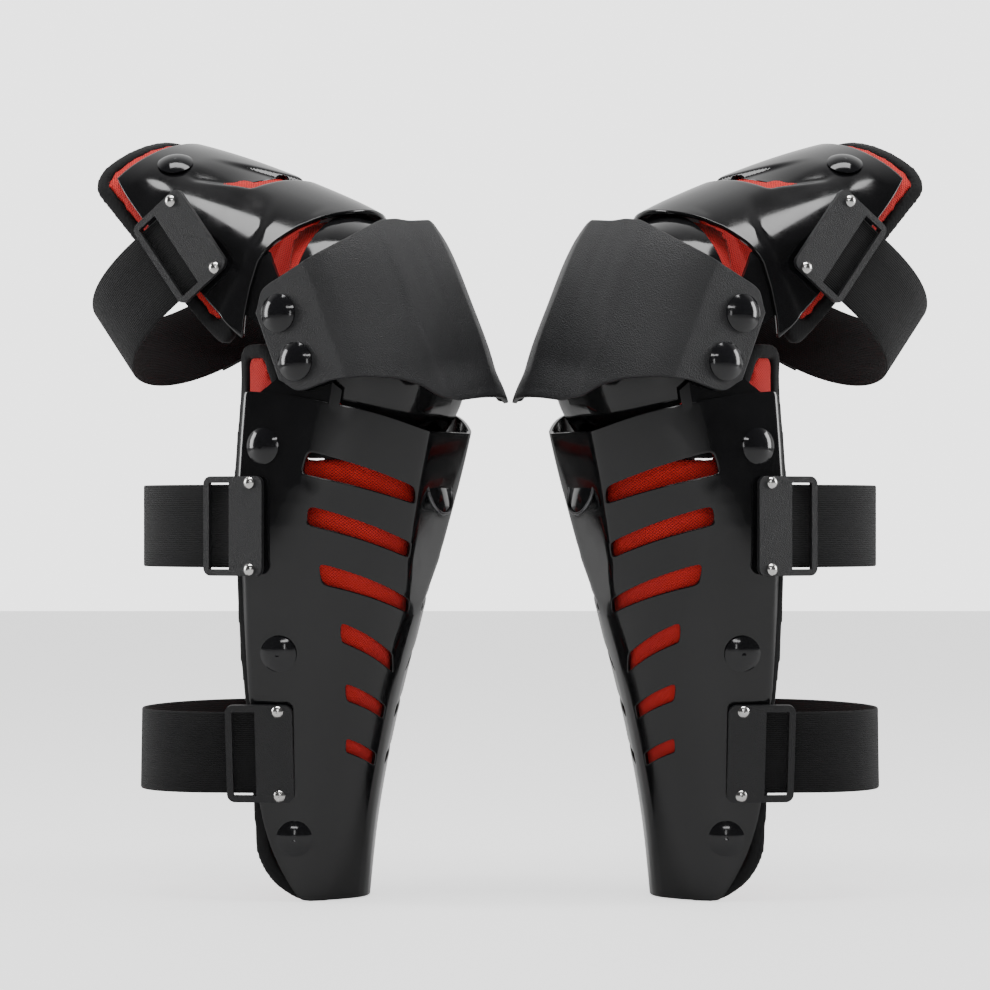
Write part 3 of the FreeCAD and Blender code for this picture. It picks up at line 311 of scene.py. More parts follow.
def set_points(mesh, points, place):
    """Puts the mesh's vertices at points given in a body's own frame."""
    turn = np.array(place)
    mesh.vertices.foreach_set("co", (points @ turn[:3, :3].T + turn[:3, 3]).ravel())
    mesh.update()


def normals_of(mesh):
    values = np.zeros(len(mesh.vertices) * 3)
    mesh.vertices.foreach_get("normal", values)
    return values.reshape(-1, 3)


# ------------------------------------------------------------------ moulded shells

def station(rows, up):
    """An oval's centre, front and half width at a height, smoothly between the given rows."""
    heights = [row[0] for row in rows]
    k = max(0, min(len(rows) - 2, sum(h <= up for h in heights) - 1))
    t = (up - heights[k]) / (heights[k + 1] - heights[k])
    values = []
    for i in (1, 2, 3):
        def slope(j):
            a, b = max(j - 1, 0), min(j + 1, len(rows) - 1)
            return (rows[b][i] - rows[a][i]) / (heights[b] - heights[a])
        span = heights[k + 1] - heights[k]
        start, end = rows[k][i], rows[k + 1][i]
        values.append((2 * t ** 3 - 3 * t ** 2 + 1) * start + (t ** 3 - 2 * t ** 2 + t) * span * slope(k)
                      + (3 * t ** 2 - 2 * t ** 3) * end + (t ** 3 - t ** 2) * span * slope(k + 1))
    return values


def skin_point(rows, turn, up, flat=SIDE_FLAT, sink=0.0):
    """A point of a leg-shaped skin at an angle from straight ahead, sunk inwards."""
    centre, front, half = station(rows, up)
    c, s = math.cos(turn), math.sin(turn)
    forward = centre + (front - centre - sink) * math.copysign(abs(c) ** (2 / OVAL_POWER), c)
    out = (half - sink) * abs(s) ** (2 / OVAL_POWER)
    return Vector((forward, -min(out, flat - sink), up))


def turn_at(rows, forward, up):
    """The angle at which a skin has that forward place."""
    centre, front, _ = station(rows, up)
    ratio = (forward - centre) / (front - centre)
    c = math.copysign(min(1, abs(ratio)) ** (OVAL_POWER / 2), ratio)
    return math.acos(c)


def lerp(a, b, t):
    return a + (b - a) * t


def smooth(value, low, high):
    t = max(0.0, min(1.0, (value - low) / (high - low)))
    return t * t * (3 - 2 * t)


def along_line(points, value):
    """Height of a polyline of (place, height) at a place."""
    return float(np.interp(value, [p[0] for p in points], [p[1] for p in points]))


def shell_mesh(name, grid, place, keep=lambda i, j: True, creased=()):
    """A shell's outer face from rows of points that start on the middle plane, mirrored to both sides."""
    shape = bmesh.new()
    crease = shape.edges.layers.float.new("crease_edge")
    right = [[shape.verts.new(place @ p) for p in row] for row in grid]
    left = [[row[0]] + [shape.verts.new(place @ Vector((p.x, -p.y, p.z))) for p in line[1:]]
            for row, line in zip(right, grid)]
    for side, rows in ((1, right), (-1, left)):
        for i in range(len(rows) - 1):
            for j in range(len(rows[0]) - 1):
                if keep(i, j):
                    corners = [rows[i][j], rows[i][j + 1], rows[i + 1][j + 1], rows[i + 1][j]]
                    shape.faces.new(corners if side < 0 else corners[::-1])
        for i in range(len(rows) - 1):
            for j, strength in creased:
                edge = shape.edges.get((rows[i][j], rows[i + 1][j]))
                if edge:
                    edge[crease] = strength(i)
    bmesh.ops.delete(shape, geom=[v for v in shape.verts if not v.link_faces], context="VERTS")
    bmesh.ops.recalc_face_normals(shape, faces=shape.faces)
    front = max(shape.faces, key=lambda f: (place.inverted() @ f.calc_center_median()).x)
    ahead = place.to_3x3() @ Vector((1, 0, 0))
    if front.normal.dot(ahead) < 0:
        bmesh.ops.reverse_faces(shape, faces=shape.faces)
    mesh = bpy.data.meshes.new(name)
    shape.to_mesh(mesh)
    shape.free()
    return mesh


def thicken(made, wall, levels, rim=0.55):
    """Gives a shell its wall, inwards from its face, and rounds the wall's edges."""
    solid = made.modifiers.new("wall", "SOLIDIFY")
    solid.thickness = wall / 1000
    solid.offset = -1
    solid.use_even_offset = True
    solid.edge_crease_inner = solid.edge_crease_outer = rim
    round_off = made.modifiers.new("round", "SUBSURF")
    round_off.levels = round_off.render_levels = levels
    applied(made)
    made.data.shade_smooth()
    return made


FACET = ((187, 54.6), (280, 76.9))
BADGE_HEIGHT = 250
VENT_CORNERS = (
    ((20.9, 99), (19.9, 90.7), (28.3, 81), (29.5, 88.4)),
    ((24.4, 132.7), (23.8, 122.2), (34.8, 109.8), (36.5, 117.6)),
    ((27.1, 169.9), (25.9, 158), (42, 138), (43.7, 150)),
    ((19.9, 205.7), (21.1, 192.8), (52.6, 174.6), (54.6, 182.6)),
    ((17.7, 240), (16, 228.6), (59.2, 208.5), (61.4, 217.4)),
    ((18.7, 272.7), (13.9, 259.1), (66.6, 240.9), (68.1, 251.1)),
)
SHIN_BACK = ((0, -5), (4.3, -9.7), (31.5, -22), (56, -27.5), (123, -29), (193, -28.5), (256, -31), (310, -26))
SHIN_TOP = ((-26, 309.6), (14.5, 305), (55, 296), (72, 284.5), (84, 279.5))
SLOT_COLUMNS = (0.0, 0.07, 0.5, 0.93, 1.0)
SLOT_MARGIN = 2.2


def shin_row(front, back):
    """One line of the shin shell through a slot's edge: its angles and heights from front to rear."""
    low, high = max(0.13, turn_at(SHIN_ROWS, *front)), turn_at(SHIN_ROWS, *back)
    drop = (back[1] - front[1]) / (high - low)
    beside = low - min(0.045, 0.3 * low)
    turns = [0.0, ("facet", beside), beside]
    heights = [front[1] - drop * low * 0.3, front[1] - drop * low * 0.27, front[1] - drop * 0.03]
    for t in SLOT_COLUMNS:
        turns.append(lerp(low, high, t))
        heights.append(lerp(front[1], back[1], 1 - (1 - t) ** 1.25))
    for step in (0.045, 0.3, 0.65, 1.0):
        turns.append(("rear", high, step))
        heights.append(back[1] + drop * 0.02)
    return turns, heights


def shin_line(turns, heights):
    """The points of one line of the shin shell, held behind the front facet's plane."""
    points = []
    rear = turn_at(SHIN_ROWS, along_line(SHIN_BACK, heights[-1]), heights[-1])
    for turn, up in zip(turns, heights):
        plane = FACET[0][1] + (up - FACET[0][0]) * (FACET[1][1] - FACET[0][1]) / (FACET[1][0] - FACET[0][0])
        plane += 10 * (1 - smooth(up, FACET[0][0] - 34, FACET[0][0] - 2))
        edge = turn_at(SHIN_ROWS, min(plane, station(SHIN_ROWS, up)[1] - 0.02), up)
        if isinstance(turn, tuple) and turn[0] == "facet":
            turn = min(max(edge, 0.4 * turn[1]), 0.86 * turn[1])
        elif isinstance(turn, tuple):
            turn = turn[1] + turn[2] if turn[2] < 0.1 else lerp(turn[1] + 0.045, rear, turn[2])
        point = skin_point(SHIN_ROWS, turn, up)
        point.x = min(point.x, plane)
        points.append(point)
    return points


def shin_shell():
    """The shin shell: a grid whose lines run along the edges of its six slots on each side."""
    rows = []
    for corners in VENT_CORNERS:
        back_top, back_low, front_low, front_top = corners
        low, high = shin_row(front_low, back_low), shin_row(front_top, back_top)
        rows.append((low[0], [h - SLOT_MARGIN for h in low[1]]))
        rows += [low, high, (high[0], [h + SLOT_MARGIN for h in high[1]])]
    full = []
    first, last = rows[0], rows[-1]
    for share in (0.0, 0.03, 0.25, 0.5, 0.75):
        full.append((first[0], [h * share for h in first[1]]))
    slots = []
    for k, row in enumerate(rows):
        if k and k % 4 == 0:
            before = rows[k - 1]
            mixed = [(a[0], (a[1] + b[1]) / 2, *a[2:]) if isinstance(a, tuple) else (a + b) / 2
                     for a, b in zip(before[0], row[0])]
            full.append((mixed, [(a + b) / 2 for a, b in zip(before[1], row[1])]))
        if k % 4 == 1:
            slots.append(len(full))
        full.append(row)
    grid = [shin_line(*row) for row in full]
    top = []
    for share in (0.5, 0.94, 1.0):
        line = []
        for turn, up, under in zip(last[0], last[1], grid[-1]):
            rim = along_line(SHIN_TOP, under.x + 2)
            line.append(lerp(up, rim, share))
        top.append(shin_line(last[0], line))
    grid += top
    heights = [row[1].z for row in grid]
    mesh = shell_mesh("right_shin_shell", grid, SHIN, lambda i, j: i not in slots or not 3 <= j <= 6,
                      [(1, lambda i: 0.75 * smooth(heights[i], 185, 215))])
    made = own("right_shin_shell_moulding", mesh, "gloss_shell")
    pair(thicken(made, SHELL_WALL, 2), "shin", "shin_shell")


def lathed(name, profile, place, slot):
    """A turned piece from (radius, height) points, standing on a place's own Z."""
    steps = 64
    shape = bmesh.new()
    rings = []
    for radius, height in profile:
        if radius:
            turns = [2 * math.pi * i / steps for i in range(steps)]
            rings.append([shape.verts.new(place @ Vector((radius * math.cos(t), radius * math.sin(t), height)))
                          for t in turns])
        else:
            rings.append([shape.verts.new(place @ Vector((0, 0, height)))] * steps)
    for low, high in zip(rings, rings[1:]):
        for i in range(steps):
            k = (i + 1) % steps
            corners = list(dict.fromkeys((low[i], low[k], high[k], high[i])))
            if len(corners) > 2:
                shape.faces.new(corners)
    bmesh.ops.recalc_face_normals(shape, faces=shape.faces)
    mesh = bpy.data.meshes.new(name)
    shape.to_mesh(mesh)
    shape.free()
    return own(name, mesh, slot)


def shin_badge():
    """A blank round badge let into the front facet, with a thin pale ring."""
    slope = math.atan2(FACET[1][1] - FACET[0][1], FACET[1][0] - FACET[0][0])
    middle = Vector((along_line(FACET, BADGE_HEIGHT), 0, BADGE_HEIGHT))
    place = SHIN @ Matrix.Translation(middle) @ Matrix.Rotation(math.pi / 2 - slope, 4, "Y")
    disc = lathed("right_shin_badge_disc", ((0, 0.55), (12.6, 0.4), (13.4, -0.2), (14.2, -0.2), (14.2, -1.6),
                                            (0, -1.6)), place, "badge")
    pair(disc, "shin", "shin_badge")
    ring = lathed("right_shin_badge_ring", ((14.3, -1.4), (14.3, 0.5), (14.7, 0.8), (15.3, 0.8), (15.8, 0.4),
                                            (15.8, -1.4), (14.3, -1.4)), place, "badge")
    for made in pair(ring, "shin"):
        made.data.materials[0] = FINISHES["badge_ring"]


# The thigh shell: a raised band follows the knee rim, and a duct sinks towards a slot on each side.
THIGH_RIM = ((-26, 17), (-14, 22), (3, 26.5), (19, 29), (34, 28), (48, 24), (60, 17.5), (69.5, 10))
THIGH_TOP = ((18, 151.5), (30, 150), (44, 147.3), (54, 144))
THIGH_BACK = ((17, -26), (28, -24), (50, -17.5), (82, -5.5), (110, 5), (140, 15), (151, 19))
THIGH_REAR = (17, 151)
THIGH_SLOT = ((51.8, 79), (52.4, 73), (57.5, 69), (63.6, 66), (64, 67.5), (62.5, 75), (58.9, 76))
DUCT_LOW = ((64, 6), (72, 34), (80, 36), (106, 45), (122, 44))
DUCT_HIGH = ((64, 1), (77, 11), (103, 21), (122, 27))
DUCT_END = ((1, 62.5), (20, 67.5), (34, 72), (46, 80))


def thigh_dent(turn, up):
    """How far the thigh shell's face lies under its skin: a duct, a low panel and a raised rim."""
    degrees = math.degrees(abs(turn))
    low, high = along_line(DUCT_LOW, up), along_line(DUCT_HIGH, up)
    inside = smooth(degrees, high - 3.0, high + 1.5) * (1 - smooth(degrees, low - 1.6, low + 1.6))
    end = along_line(DUCT_END, degrees)
    ramp = smooth(up, end - 1.5, end + 1.5) * (1 - smooth(up, end + 8, 119))
    duct = 3.4 * inside * ramp
    ridge = along_line(((35, 56), (42, 50), (50, 43), (60, 39), (80, 38)), degrees)
    panel = 1.3 * smooth(degrees, 33, 46) * smooth(up, ridge - 4, ridge + 5) * (1 - smooth(up, 112, 138))
    lip = -0.5 * (1 - smooth(up, ridge - 34, ridge - 30)) * smooth(degrees, 20, 40)
    return duct + panel + lip


def thigh_grid():
    """The thigh shell's face: lines from its rim up to its top edge."""
    columns, lines = 84, 96
    rear_low = turn_at(THIGH_ROWS, THIGH_RIM[0][0], THIGH_REAR[0])
    rear_high = turn_at(THIGH_ROWS, THIGH_BACK[-1][1], THIGH_REAR[1])
    grid = []
    for j in range(lines + 1):
        share = j / lines
        rear_up = lerp(*THIGH_REAR, share)
        rear = turn_at(THIGH_ROWS, along_line(THIGH_BACK, rear_up), rear_up)
        line = []
        for i in range(columns + 1):
            across = i / columns
            turn = rear * across
            low_at = skin_point(THIGH_ROWS, rear_low * across, 22).x
            high_at = skin_point(THIGH_ROWS, rear_high * across, 147).x
            up = lerp(along_line(THIGH_RIM, low_at), along_line(THIGH_TOP, high_at), share)
            line.append(skin_point(THIGH_ROWS, turn, up, sink=thigh_dent(turn, up)))
        grid.append(line)
    return grid


def slot_cutter():
    """A prism on each side of the thigh, the shape of the slot at the duct's end."""
    shape = bmesh.new()
    for side in (-1, 1):
        ends = [[shape.verts.new(THIGH @ Vector((x, y * side, z))) for x, z in THIGH_SLOT] for y in (7, 90)]
        shape.faces.new(ends[0])
        shape.faces.new(ends[1][::-1])
        for k in range(len(THIGH_SLOT)):
            n = (k + 1) % len(THIGH_SLOT)
            shape.faces.new((ends[0][k], ends[1][k], ends[1][n], ends[0][n]))
    bmesh.ops.recalc_face_normals(shape, faces=shape.faces)
    mesh = bpy.data.meshes.new("slot_cutter")
    shape.to_mesh(mesh)
    shape.free()
    cutter = bpy.data.objects.new("slot_cutter", mesh)
    bpy.context.scene.collection.objects.link(cutter)
    return cutter


def thigh_shell():
    mesh = shell_mesh("right_thigh_shell", thigh_grid(), THIGH)
    made = own("right_thigh_shell_moulding", mesh, "gloss_shell")
    soften = made.modifiers.new("soften", "SMOOTH")
    soften.factor = 0.5
    soften.iterations = 4
    solid = made.modifiers.new("wall", "SOLIDIFY")
    solid.thickness = SHELL_WALL / 1000
    solid.offset = -1
    applied(made)
    cutter = slot_cutter()
    cut = made.modifiers.new("slot", "BOOLEAN")
    cut.operation = "DIFFERENCE"
    cut.solver = "EXACT"
    cut.object = cutter
    applied(made)
    bpy.data.objects.remove(cutter)
    made.data.shade_smooth()
    pair(made, "thigh", "thigh_shell")


# The knee cap: a matte shield whose front panel stands proud of its cheeks, with ears over the pivots.
CAP_UPPER = ((-17, 31), (0, 35), (25, 37.5), (41, 40.5), (54, 43.5), (66, 47.5), (76, 51.5), (82, 51),
             (86, 48.5), (90, 48))
CAP_LOWER = ((-17, -30), (0, -34), (18, -35.5), (37, -41), (55, -48.5), (66, -55.5), (74, -66), (80, -70.5),
             (90, -71))
EARS_FORWARD = 25
CAP_GAP = 0.4
CAP_WALL = 3


def cap_lift(turn, up):
    """How far the cap's face stands out of its skin: less on a sunk keel and on the cheeks beside it."""
    degrees = math.degrees(abs(turn))
    edge = along_line(((-73, 31), (-56, 34), (-30, 37), (45, 37)), up)
    proud = lerp(2.4, 0.7, smooth(up, -55, 45))
    keel = -along_line(((0, 4.0), (8, 5.6), (16, 6.8), (26, 6.2), (36, 4.0), (46, 2.2), (62, 0)), degrees)
    keel *= smooth(up, -72, -44)
    cheek = -proud * smooth(degrees, edge - 4, edge + 0.5) * (1 - smooth(degrees, edge + 2, edge + 24))
    lip = 0.8 * (1 - smooth(up, -69, -65)) * (1 - smooth(degrees, 12, 30))
    return keel + cheek + lip


def knee_cap():
    columns, lines = 96, 64
    rear = turn_at(CAP_ROWS, -15, 0)
    grid = []
    for j in range(lines + 1):
        share = j / lines
        line = []
        for i in range(columns + 1):
            turn = rear * i / columns
            at = skin_point(CAP_ROWS, turn, 0, flat=100).x
            round_off = 9 * smooth(i, columns - 9, columns) ** 2
            up = lerp(along_line(CAP_LOWER, at) + round_off, along_line(CAP_UPPER, at) - round_off, share)
            sink = -cap_lift(turn, up) if at > EARS_FORWARD else 0
            line.append(skin_point(CAP_ROWS, turn, up, flat=SIDE_FLAT + CAP_GAP + CAP_WALL, sink=sink))
        grid.append(line)
    mesh = shell_mesh("right_knee_cap", grid, KNEE)
    made = own("right_knee_cap_moulding", mesh, "matte_cap")
    soften = made.modifiers.new("soften", "SMOOTH")
    soften.factor = 0.5
    soften.iterations = 3
    thicken(made, CAP_WALL, 1, rim=0.4)
    pair(made, "knee", "knee_cap")


# ------------------------------------------------------------------ padded liners and their tapes

def swell(made, pressure, cap):
    """Lets air into a closed pad for a moment and keeps each point within cap of where it was."""
    before = np.array([v.co for v in made.data.vertices])
    cloth_step = made.modifiers.new("swell", "CLOTH")
    settings = cloth_step.settings
    settings.use_pressure = True
    settings.uniform_pressure_force = pressure
    settings.effector_weights.gravity = 0
    settings.quality = 5
    settings.tension_stiffness = settings.compression_stiffness = 15
    cloth_step.point_cache.frame_start = 1
    cloth_step.point_cache.frame_end = 20
    for step in range(1, 21):
        bpy.context.scene.frame_set(step)
    applied(made)
    bpy.context.scene.frame_set(1)
    after = np.array([v.co for v in made.data.vertices])
    move = after - before
    far = np.linalg.norm(move, axis=1, keepdims=True)
    move *= np.minimum(1, cap / np.maximum(far, 1e-9))
    made.data.vertices.foreach_set("co", (before + move).ravel())
    made.data.update()


LINER_AXIS = -20.0
LINER_RADIUS = 78
LINER_FILL = 0.8
LINER_GRAIN = 0.003
TAPE_GRAIN = 0.0013


def evened(made, grain):
    """Adds an even skin of small faces to a piece grown from a CAD solid."""
    remesh = made.modifiers.new("even", "REMESH")
    remesh.mode = "VOXEL"
    remesh.voxel_size = grain


def liner(body, node, quilt, seams):
    """A padded mesh liner grown from its CAD solid: swollen, then sewn into channels on the leg's side."""
    made = merged_copy("right_" + node, "right_%s_pad" % node, "red_mesh_pad")
    evened(made, LINER_GRAIN)
    applied(made)
    swell(made, 4.0, 0.0008)
    place = FRAMES[body]
    finer = made.modifiers.new("finer", "SUBSURF")
    finer.levels = finer.render_levels = 1
    applied(made)
    mesh = made.data
    points = local_points(mesh, place)
    normal = normals_of(mesh) @ np.array(place.inverted())[:3, :3].T
    normal /= np.linalg.norm(normal, axis=1, keepdims=True)
    inward = points - np.array([LINER_AXIS, 0.0, 0.0])
    inward[:, 2] = 0
    inward /= np.maximum(np.linalg.norm(inward, axis=1, keepdims=True), 1e-6)
    facing = np.clip(-(normal * inward).sum(1), 0, 1)
    turn = np.arctan2(points[:, 1], points[:, 0] - LINER_AXIS)
    around, first, spacing = seams
    upright = np.abs(np.sin(turn * around))
    level = np.abs(np.sin((points[:, 2] - first) * math.pi / spacing))
    channel = np.minimum(upright, level)
    rise = quilt * np.clip(channel * 3, 0, 1) ** 0.5 * facing
    points = points + normal * rise[:, None]
    set_points(mesh, points, place)
    weave_map(mesh, np.stack([turn * LINER_RADIUS, points[:, 2]], 1))
    mesh.shade_smooth()
    pair(made, body, node, pad=LINER_FILL)


def tape(body, node):
    """Folded cloth tape round a liner's edge, soft and slightly rounded."""
    made = merged_copy("right_" + node, "right_%s_tape" % node, "edge_tape")
    evened(made, TAPE_GRAIN)
    soft = made.modifiers.new("soft", "SMOOTH")
    soft.factor = 0.5
    soft.iterations = 4
    plump = made.modifiers.new("plump", "DISPLACE")
    plump.strength = 0.001
    plump.mid_level = 0
    applied(made)
    made.data.shade_smooth()
    pair(made, body, node)


# ------------------------------------------------------------------ straps

BUCKLE_LIFT = 2.0
BUCKLE_WIDTH = 41
BUCKLE_WALL = 3
BUCKLE_FRAME = 4
RIVET_INSET = 9
STRAP_WIDTH = 50
STRAP_WALL = 1.6
STRAP_PLAY = 0.2
STRAP_TAIL = 60
HOOK_WALL = 1.2
RAY_START = 400
# Body, the shell that carries the buckle, the buckle's forward and up place, its tilt, the loop's reach.
STRAPS = {
    "shin_upper_strap": ("shin", "shin_shell", -19, 228, 0, 108),
    "shin_lower_strap": ("shin", "shin_shell", -12.5, 91, 0, 122),
    "thigh_strap": ("thigh", "thigh_shell", 15.5, 76, -25, 112),
}


# The CAD nodes that each strap's hook patch stands for.
PATCH_NODES = {
    "shin_upper_strap": ["shin_strap_patches"],
    "shin_lower_strap": [],
    "thigh_strap": ["thigh_strap_patch"],
}


def surface_seat(body, node, forward, up, tilt):
    """Where a fastener stands on a shell's right side: its base and its forward, up and out directions."""
    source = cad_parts["right_" + node].data
    place = FRAMES[body].inverted()
    tree = BVHTree.FromPolygons([place @ v.co for v in source.vertices],
                                [p.vertices for p in source.polygons])

    def meet(x, z):
        return tree.ray_cast(Vector((x, -RAY_START, z)), Vector((0, 1, 0)))[0]

    here = meet(forward, up)
    out = (meet(forward + 3, up) - meet(forward - 3, up)).cross(meet(forward, up + 3) - meet(forward, up - 3))
    out = out.normalized() if out.y < 0 else -out.normalized()
    upward = Vector((0, 0, 1))
    upward = (upward - out * upward.dot(out)).normalized()
    upward = Matrix.Rotation(math.radians(tilt), 3, out) @ upward
    return here, upward.cross(out), upward, out


def flip_side(vector):
    """The same place or direction on the guard's other side."""
    return Vector((vector.x, -vector.y, vector.z))


def strap_stations(seat, reach):
    """The strap's line from under its right buckle, round the leg and back through the left one."""
    base, forward, up, out = seat
    back = RIVET_INSET - BUCKLE_WIDTH
    low = STRAP_PLAY + STRAP_WALL / 2
    high = BUCKLE_LIFT + BUCKLE_WALL + STRAP_PLAY + STRAP_WALL / 2

    def right(along, height):
        return base + forward * along + out * height

    clamped = [(right(along, low), up, out) for along in (RIVET_INSET - 3, -6, -20, back - 4)]
    start = right(back - 6, low)
    handle = (reach + back - 6) / 0.75
    ends = [start, start - forward * handle, flip_side(start - forward * handle), flip_side(start)]
    loop = []
    for i in range(61):
        t = i / 60
        weights = ((1 - t) ** 3, 3 * t * (1 - t) ** 2, 3 * t * t * (1 - t), t ** 3)
        slopes = (-3 * (1 - t) ** 2, 3 * (1 - t) ** 2 - 6 * t * (1 - t),
                  6 * t * (1 - t) - 3 * t * t, 3 * t * t)
        point = sum((end * w for end, w in zip(ends, weights)), Vector())
        slope = sum((end * s for end, s in zip(ends, slopes)), Vector())
        across = (up * (1 - t) + flip_side(up) * t).normalized()
        loop.append((point, across, across.cross(slope).normalized()))
    radius = (high - low) / 2
    nose = back + BUCKLE_FRAME + STRAP_WALL / 2 + 2 * STRAP_PLAY
    fold = []
    for turn in range(-90, 91, 15):
        c, s = math.cos(math.radians(turn)), math.sin(math.radians(turn))
        fold.append((flip_side(right(nose + radius * c, (high + low) / 2 + radius * s)), flip_side(up),
                     -flip_side(forward * c + out * s)))
    over = [(flip_side(right(back - 1, high)), flip_side(up), -flip_side(out))]
    lift = STRAP_WALL + HOOK_WALL + STRAP_PLAY
    tail, length = [], 0.0
    for here, before in zip(loop[-2::-1], loop[:0:-1]):
        length += (here[0] - before[0]).length
        if length < STRAP_TAIL:
            tail.append(here)
    folded = [(point + normal * lift, across, -normal) for point, across, normal in tail]
    hooks = [(point + normal * lift / 2, across, normal) for point, across, normal in tail[1:]]
    return clamped + loop + fold + over + folded, hooks


def band_mesh(name, stations, place, width, wall, soft):
    """A flat woven band along stations, with rounded selvedges and a weave that runs along it."""
    half = width / 2
    ring = []
    for across, thick in ((-half + soft, -1), (-half * 0.5, -1), (0, -1), (half * 0.5, -1), (half - soft, -1),
                          (half, -0.45), (half, 0.45), (half - soft, 1), (half * 0.5, 1), (0, 1),
                          (-half * 0.5, 1), (-half + soft, 1), (-half, 0.45), (-half, -0.45)):
        ring.append((across, thick * wall / 2))
    shape = bmesh.new()
    layer = shape.loops.layers.uv.new("weave")
    rings, reach, before = [], 0.0, None
    for point, across, normal in stations:
        reach += (point - before).length if before else 0.0
        before = point
        rings.append((reach, [shape.verts.new(place @ (point + across * a + normal * b)) for a, b in ring]))
    count = len(ring)
    for (u0, first), (u1, second) in zip(rings, rings[1:]):
        for i in range(count):
            k = (i + 1) % count
            face = shape.faces.new((first[i], second[i], second[k], first[k]))
            places = ((u0, ring[i][0]), (u1, ring[i][0]), (u1, ring[k][0]), (u0, ring[k][0]))
            for loop, uv in zip(face.loops, places):
                loop[layer].uv = uv
    for reach, verts in (rings[0], rings[-1]):
        cap = shape.faces.new(verts)
        for loop, at in zip(cap.loops, ring):
            loop[layer].uv = (reach, at[0])
    bmesh.ops.recalc_face_normals(shape, faces=shape.faces)
    mesh = bpy.data.meshes.new(name)
    shape.to_mesh(mesh)
    shape.free()
    return mesh


def strap_and_hooks(strap, body, shell, forward, up, tilt, reach):
    """One elastic strap and the hook patch that holds its folded tail."""
    route, hooks = strap_stations(surface_seat(body, shell, forward, up, tilt), reach)
    mesh = band_mesh("right_" + strap, route, FRAMES[body], STRAP_WIDTH, STRAP_WALL, 0.8)
    pair(own("right_%s_band" % strap, mesh, "elastic_webbing"), body, strap)
    hook_width = STRAP_WIDTH - RIVET_INSET
    mesh = band_mesh("right_%s_hooks" % strap, hooks, FRAMES[body], hook_width, HOOK_WALL, 0.4)
    pair(own("right_%s_hooks" % strap, mesh, "hook_patch"), body, *PATCH_NODES[strap])


# ------------------------------------------------------------------ CAD nodes that keep their shape

CARRIED = {
    "shin_links": "gloss_plate", "knee_cup": "gloss_plate", "thigh_links": "gloss_plate",
    "shin_snap_rivets": "black_rivet", "thigh_snap_rivets": "black_rivet",
    "upper_pivot_pins": "black_rivet", "lower_pivot_pins": "black_rivet",
    "shin_buckles": "matte_buckle", "thigh_buckles": "matte_buckle",
    "shin_buckle_rivets": "bright_rivet", "thigh_buckle_rivets": "bright_rivet",
    "pivot_spacers": "washer_plastic", "pivot_washers": "washer_steel",
}


def finish_carried():
    """Gives the CAD nodes that keep their own shape their finish."""
    for node, slot in CARRIED.items():
        for side in ("right_", "left_"):
            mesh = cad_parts[side + node].data
            mesh.materials.clear()
            mesh.materials.append(FINISHES[slot])


# ------------------------------------------------------------------ floor, light and camera

def stage_floor():
    """A pale floor whose glow only the camera sees."""
    finish = Finish("pale_floor", Roughness=0.65, Emission_Color=(1, 1, 1, 1))
    finish.tree.links.new(finish.math("MULTIPLY", finish.add("LightPath").outputs["Is Camera Ray"], 1.35),
                          finish.shader.inputs["Emission Strength"])
    finish.colour(finish.ramp(finish.noise(3, 2), ((0.3, (0.6, 0.6, 0.6)), (0.7, (0.62, 0.62, 0.62)))))
    shape = bmesh.new()
    bmesh.ops.create_grid(shape, x_segments=1, y_segments=1, size=6)
    mesh = bpy.data.meshes.new("floor")
    shape.to_mesh(mesh)
    shape.free()
    made = bpy.data.objects.new("floor", mesh)
    made.location.z = -0.0005
    bpy.context.scene.collection.objects.link(made)
    mesh.materials.append(finish.material)


def softbox(name, place, aim, size, power):
    """A rectangular lamp that faces the guards."""
    light = bpy.data.lights.new(name, "AREA")
    light.shape = "RECTANGLE"
    light.size, light.size_y = size
    light.energy = power
    made = bpy.data.objects.new(name, light)
    made.location = place
    made.rotation_euler = (Vector(aim) - Vector(place)).to_track_quat("-Z", "Y").to_euler()
    bpy.context.scene.collection.objects.link(made)


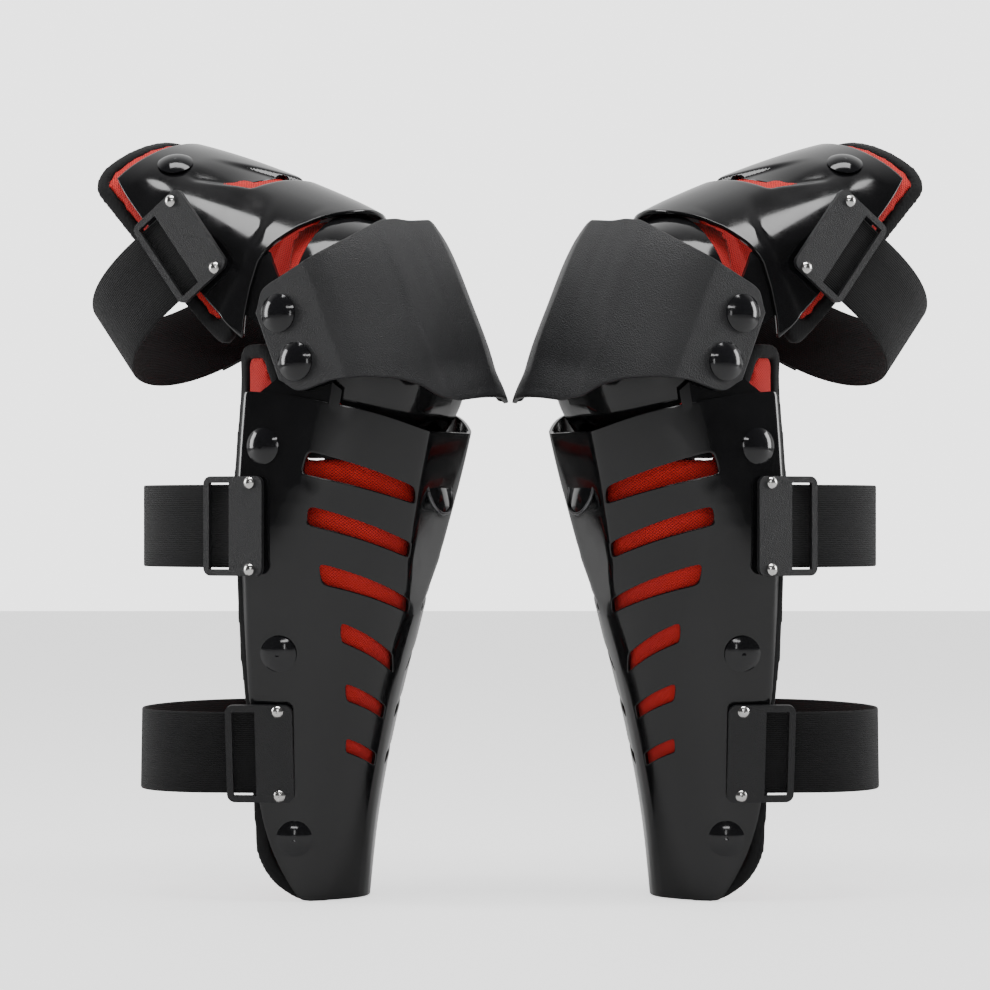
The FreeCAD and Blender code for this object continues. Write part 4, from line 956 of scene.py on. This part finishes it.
def studio_world():
    """An even backdrop to the eye, and a light that is bright behind the guards and dim in front."""
    world = bpy.data.worlds.new("studio")
    bpy.context.scene.world = world
    world.use_nodes = True
    nodes, links = world.node_tree.nodes, world.node_tree.links
    seen = nodes.new("ShaderNodeLightPath").outputs["Is Camera Ray"]
    backdrop = nodes["Background"]
    direction = nodes.new("ShaderNodeSeparateXYZ")
    links.new(nodes.new("ShaderNodeTexCoord").outputs["Generated"], direction.inputs[0])
    behind = nodes.new("ShaderNodeMapRange")
    for key, value in (("From Min", -0.1), ("From Max", 0.55), ("To Min", 0.07), ("To Max", 1.15)):
        behind.inputs[key].default_value = value
    links.new(direction.outputs["Y"], behind.inputs["Value"])
    chosen = nodes.new("ShaderNodeMix")
    links.new(seen, chosen.inputs[0])
    links.new(behind.outputs[0], chosen.inputs[2])
    chosen.inputs[3].default_value = 2.9
    links.new(chosen.outputs[0], backdrop.inputs["Strength"])
    backdrop.inputs["Color"].default_value = (1.0, 1.0, 1.0, 1)


def studio_camera():
    """A long lens level with the middle of the guards."""
    camera = bpy.data.cameras.new("camera")
    camera.lens = 117.8
    camera.sensor_width = 36
    camera.shift_y = 0.0213
    eye = bpy.data.objects.new("camera", camera)
    eye.location = (-0.0093, -2.0, 0.234)
    eye.rotation_euler = (math.radians(90), 0, 0)
    bpy.context.scene.collection.objects.link(eye)
    bpy.context.scene.camera = eye


# ------------------------------------------------------------------ the guards, then the studio

shin_shell()
shin_badge()
thigh_shell()
knee_cap()
liner("shin", "shin_liner", 1.8, (4.5, 18, 62))
liner("knee", "knee_liner", 1.5, (4.5, 0, 60))
liner("thigh", "thigh_liner", 1.8, (4.5, 30, 62))
tape("shin", "shin_binding")
tape("thigh", "thigh_binding")
for strap, fitting in STRAPS.items():
    strap_and_hooks(strap, *fitting)
finish_carried()

stage_floor()
softbox("top_softbox", (0, -0.35, 1.7), (0, 0, 0.25), (1.4, 0.5), 22)
softbox("left_softbox", (-1.9, 0.15, 0.75), (-0.1, 0, 0.25), (0.5, 1.2), 20)
softbox("right_softbox", (1.9, 0.15, 0.75), (0.1, 0, 0.25), (0.5, 1.2), 20)
softbox("front_softbox", (0, -2.6, 1.5), (0, 0, 0.25), (1.2, 0.3), 12)
softbox("middle_softbox", (0, -1.7, 0.4), (0, 0, 0.3), (0.12, 0.5), 1.2)
studio_world()
studio_camera()
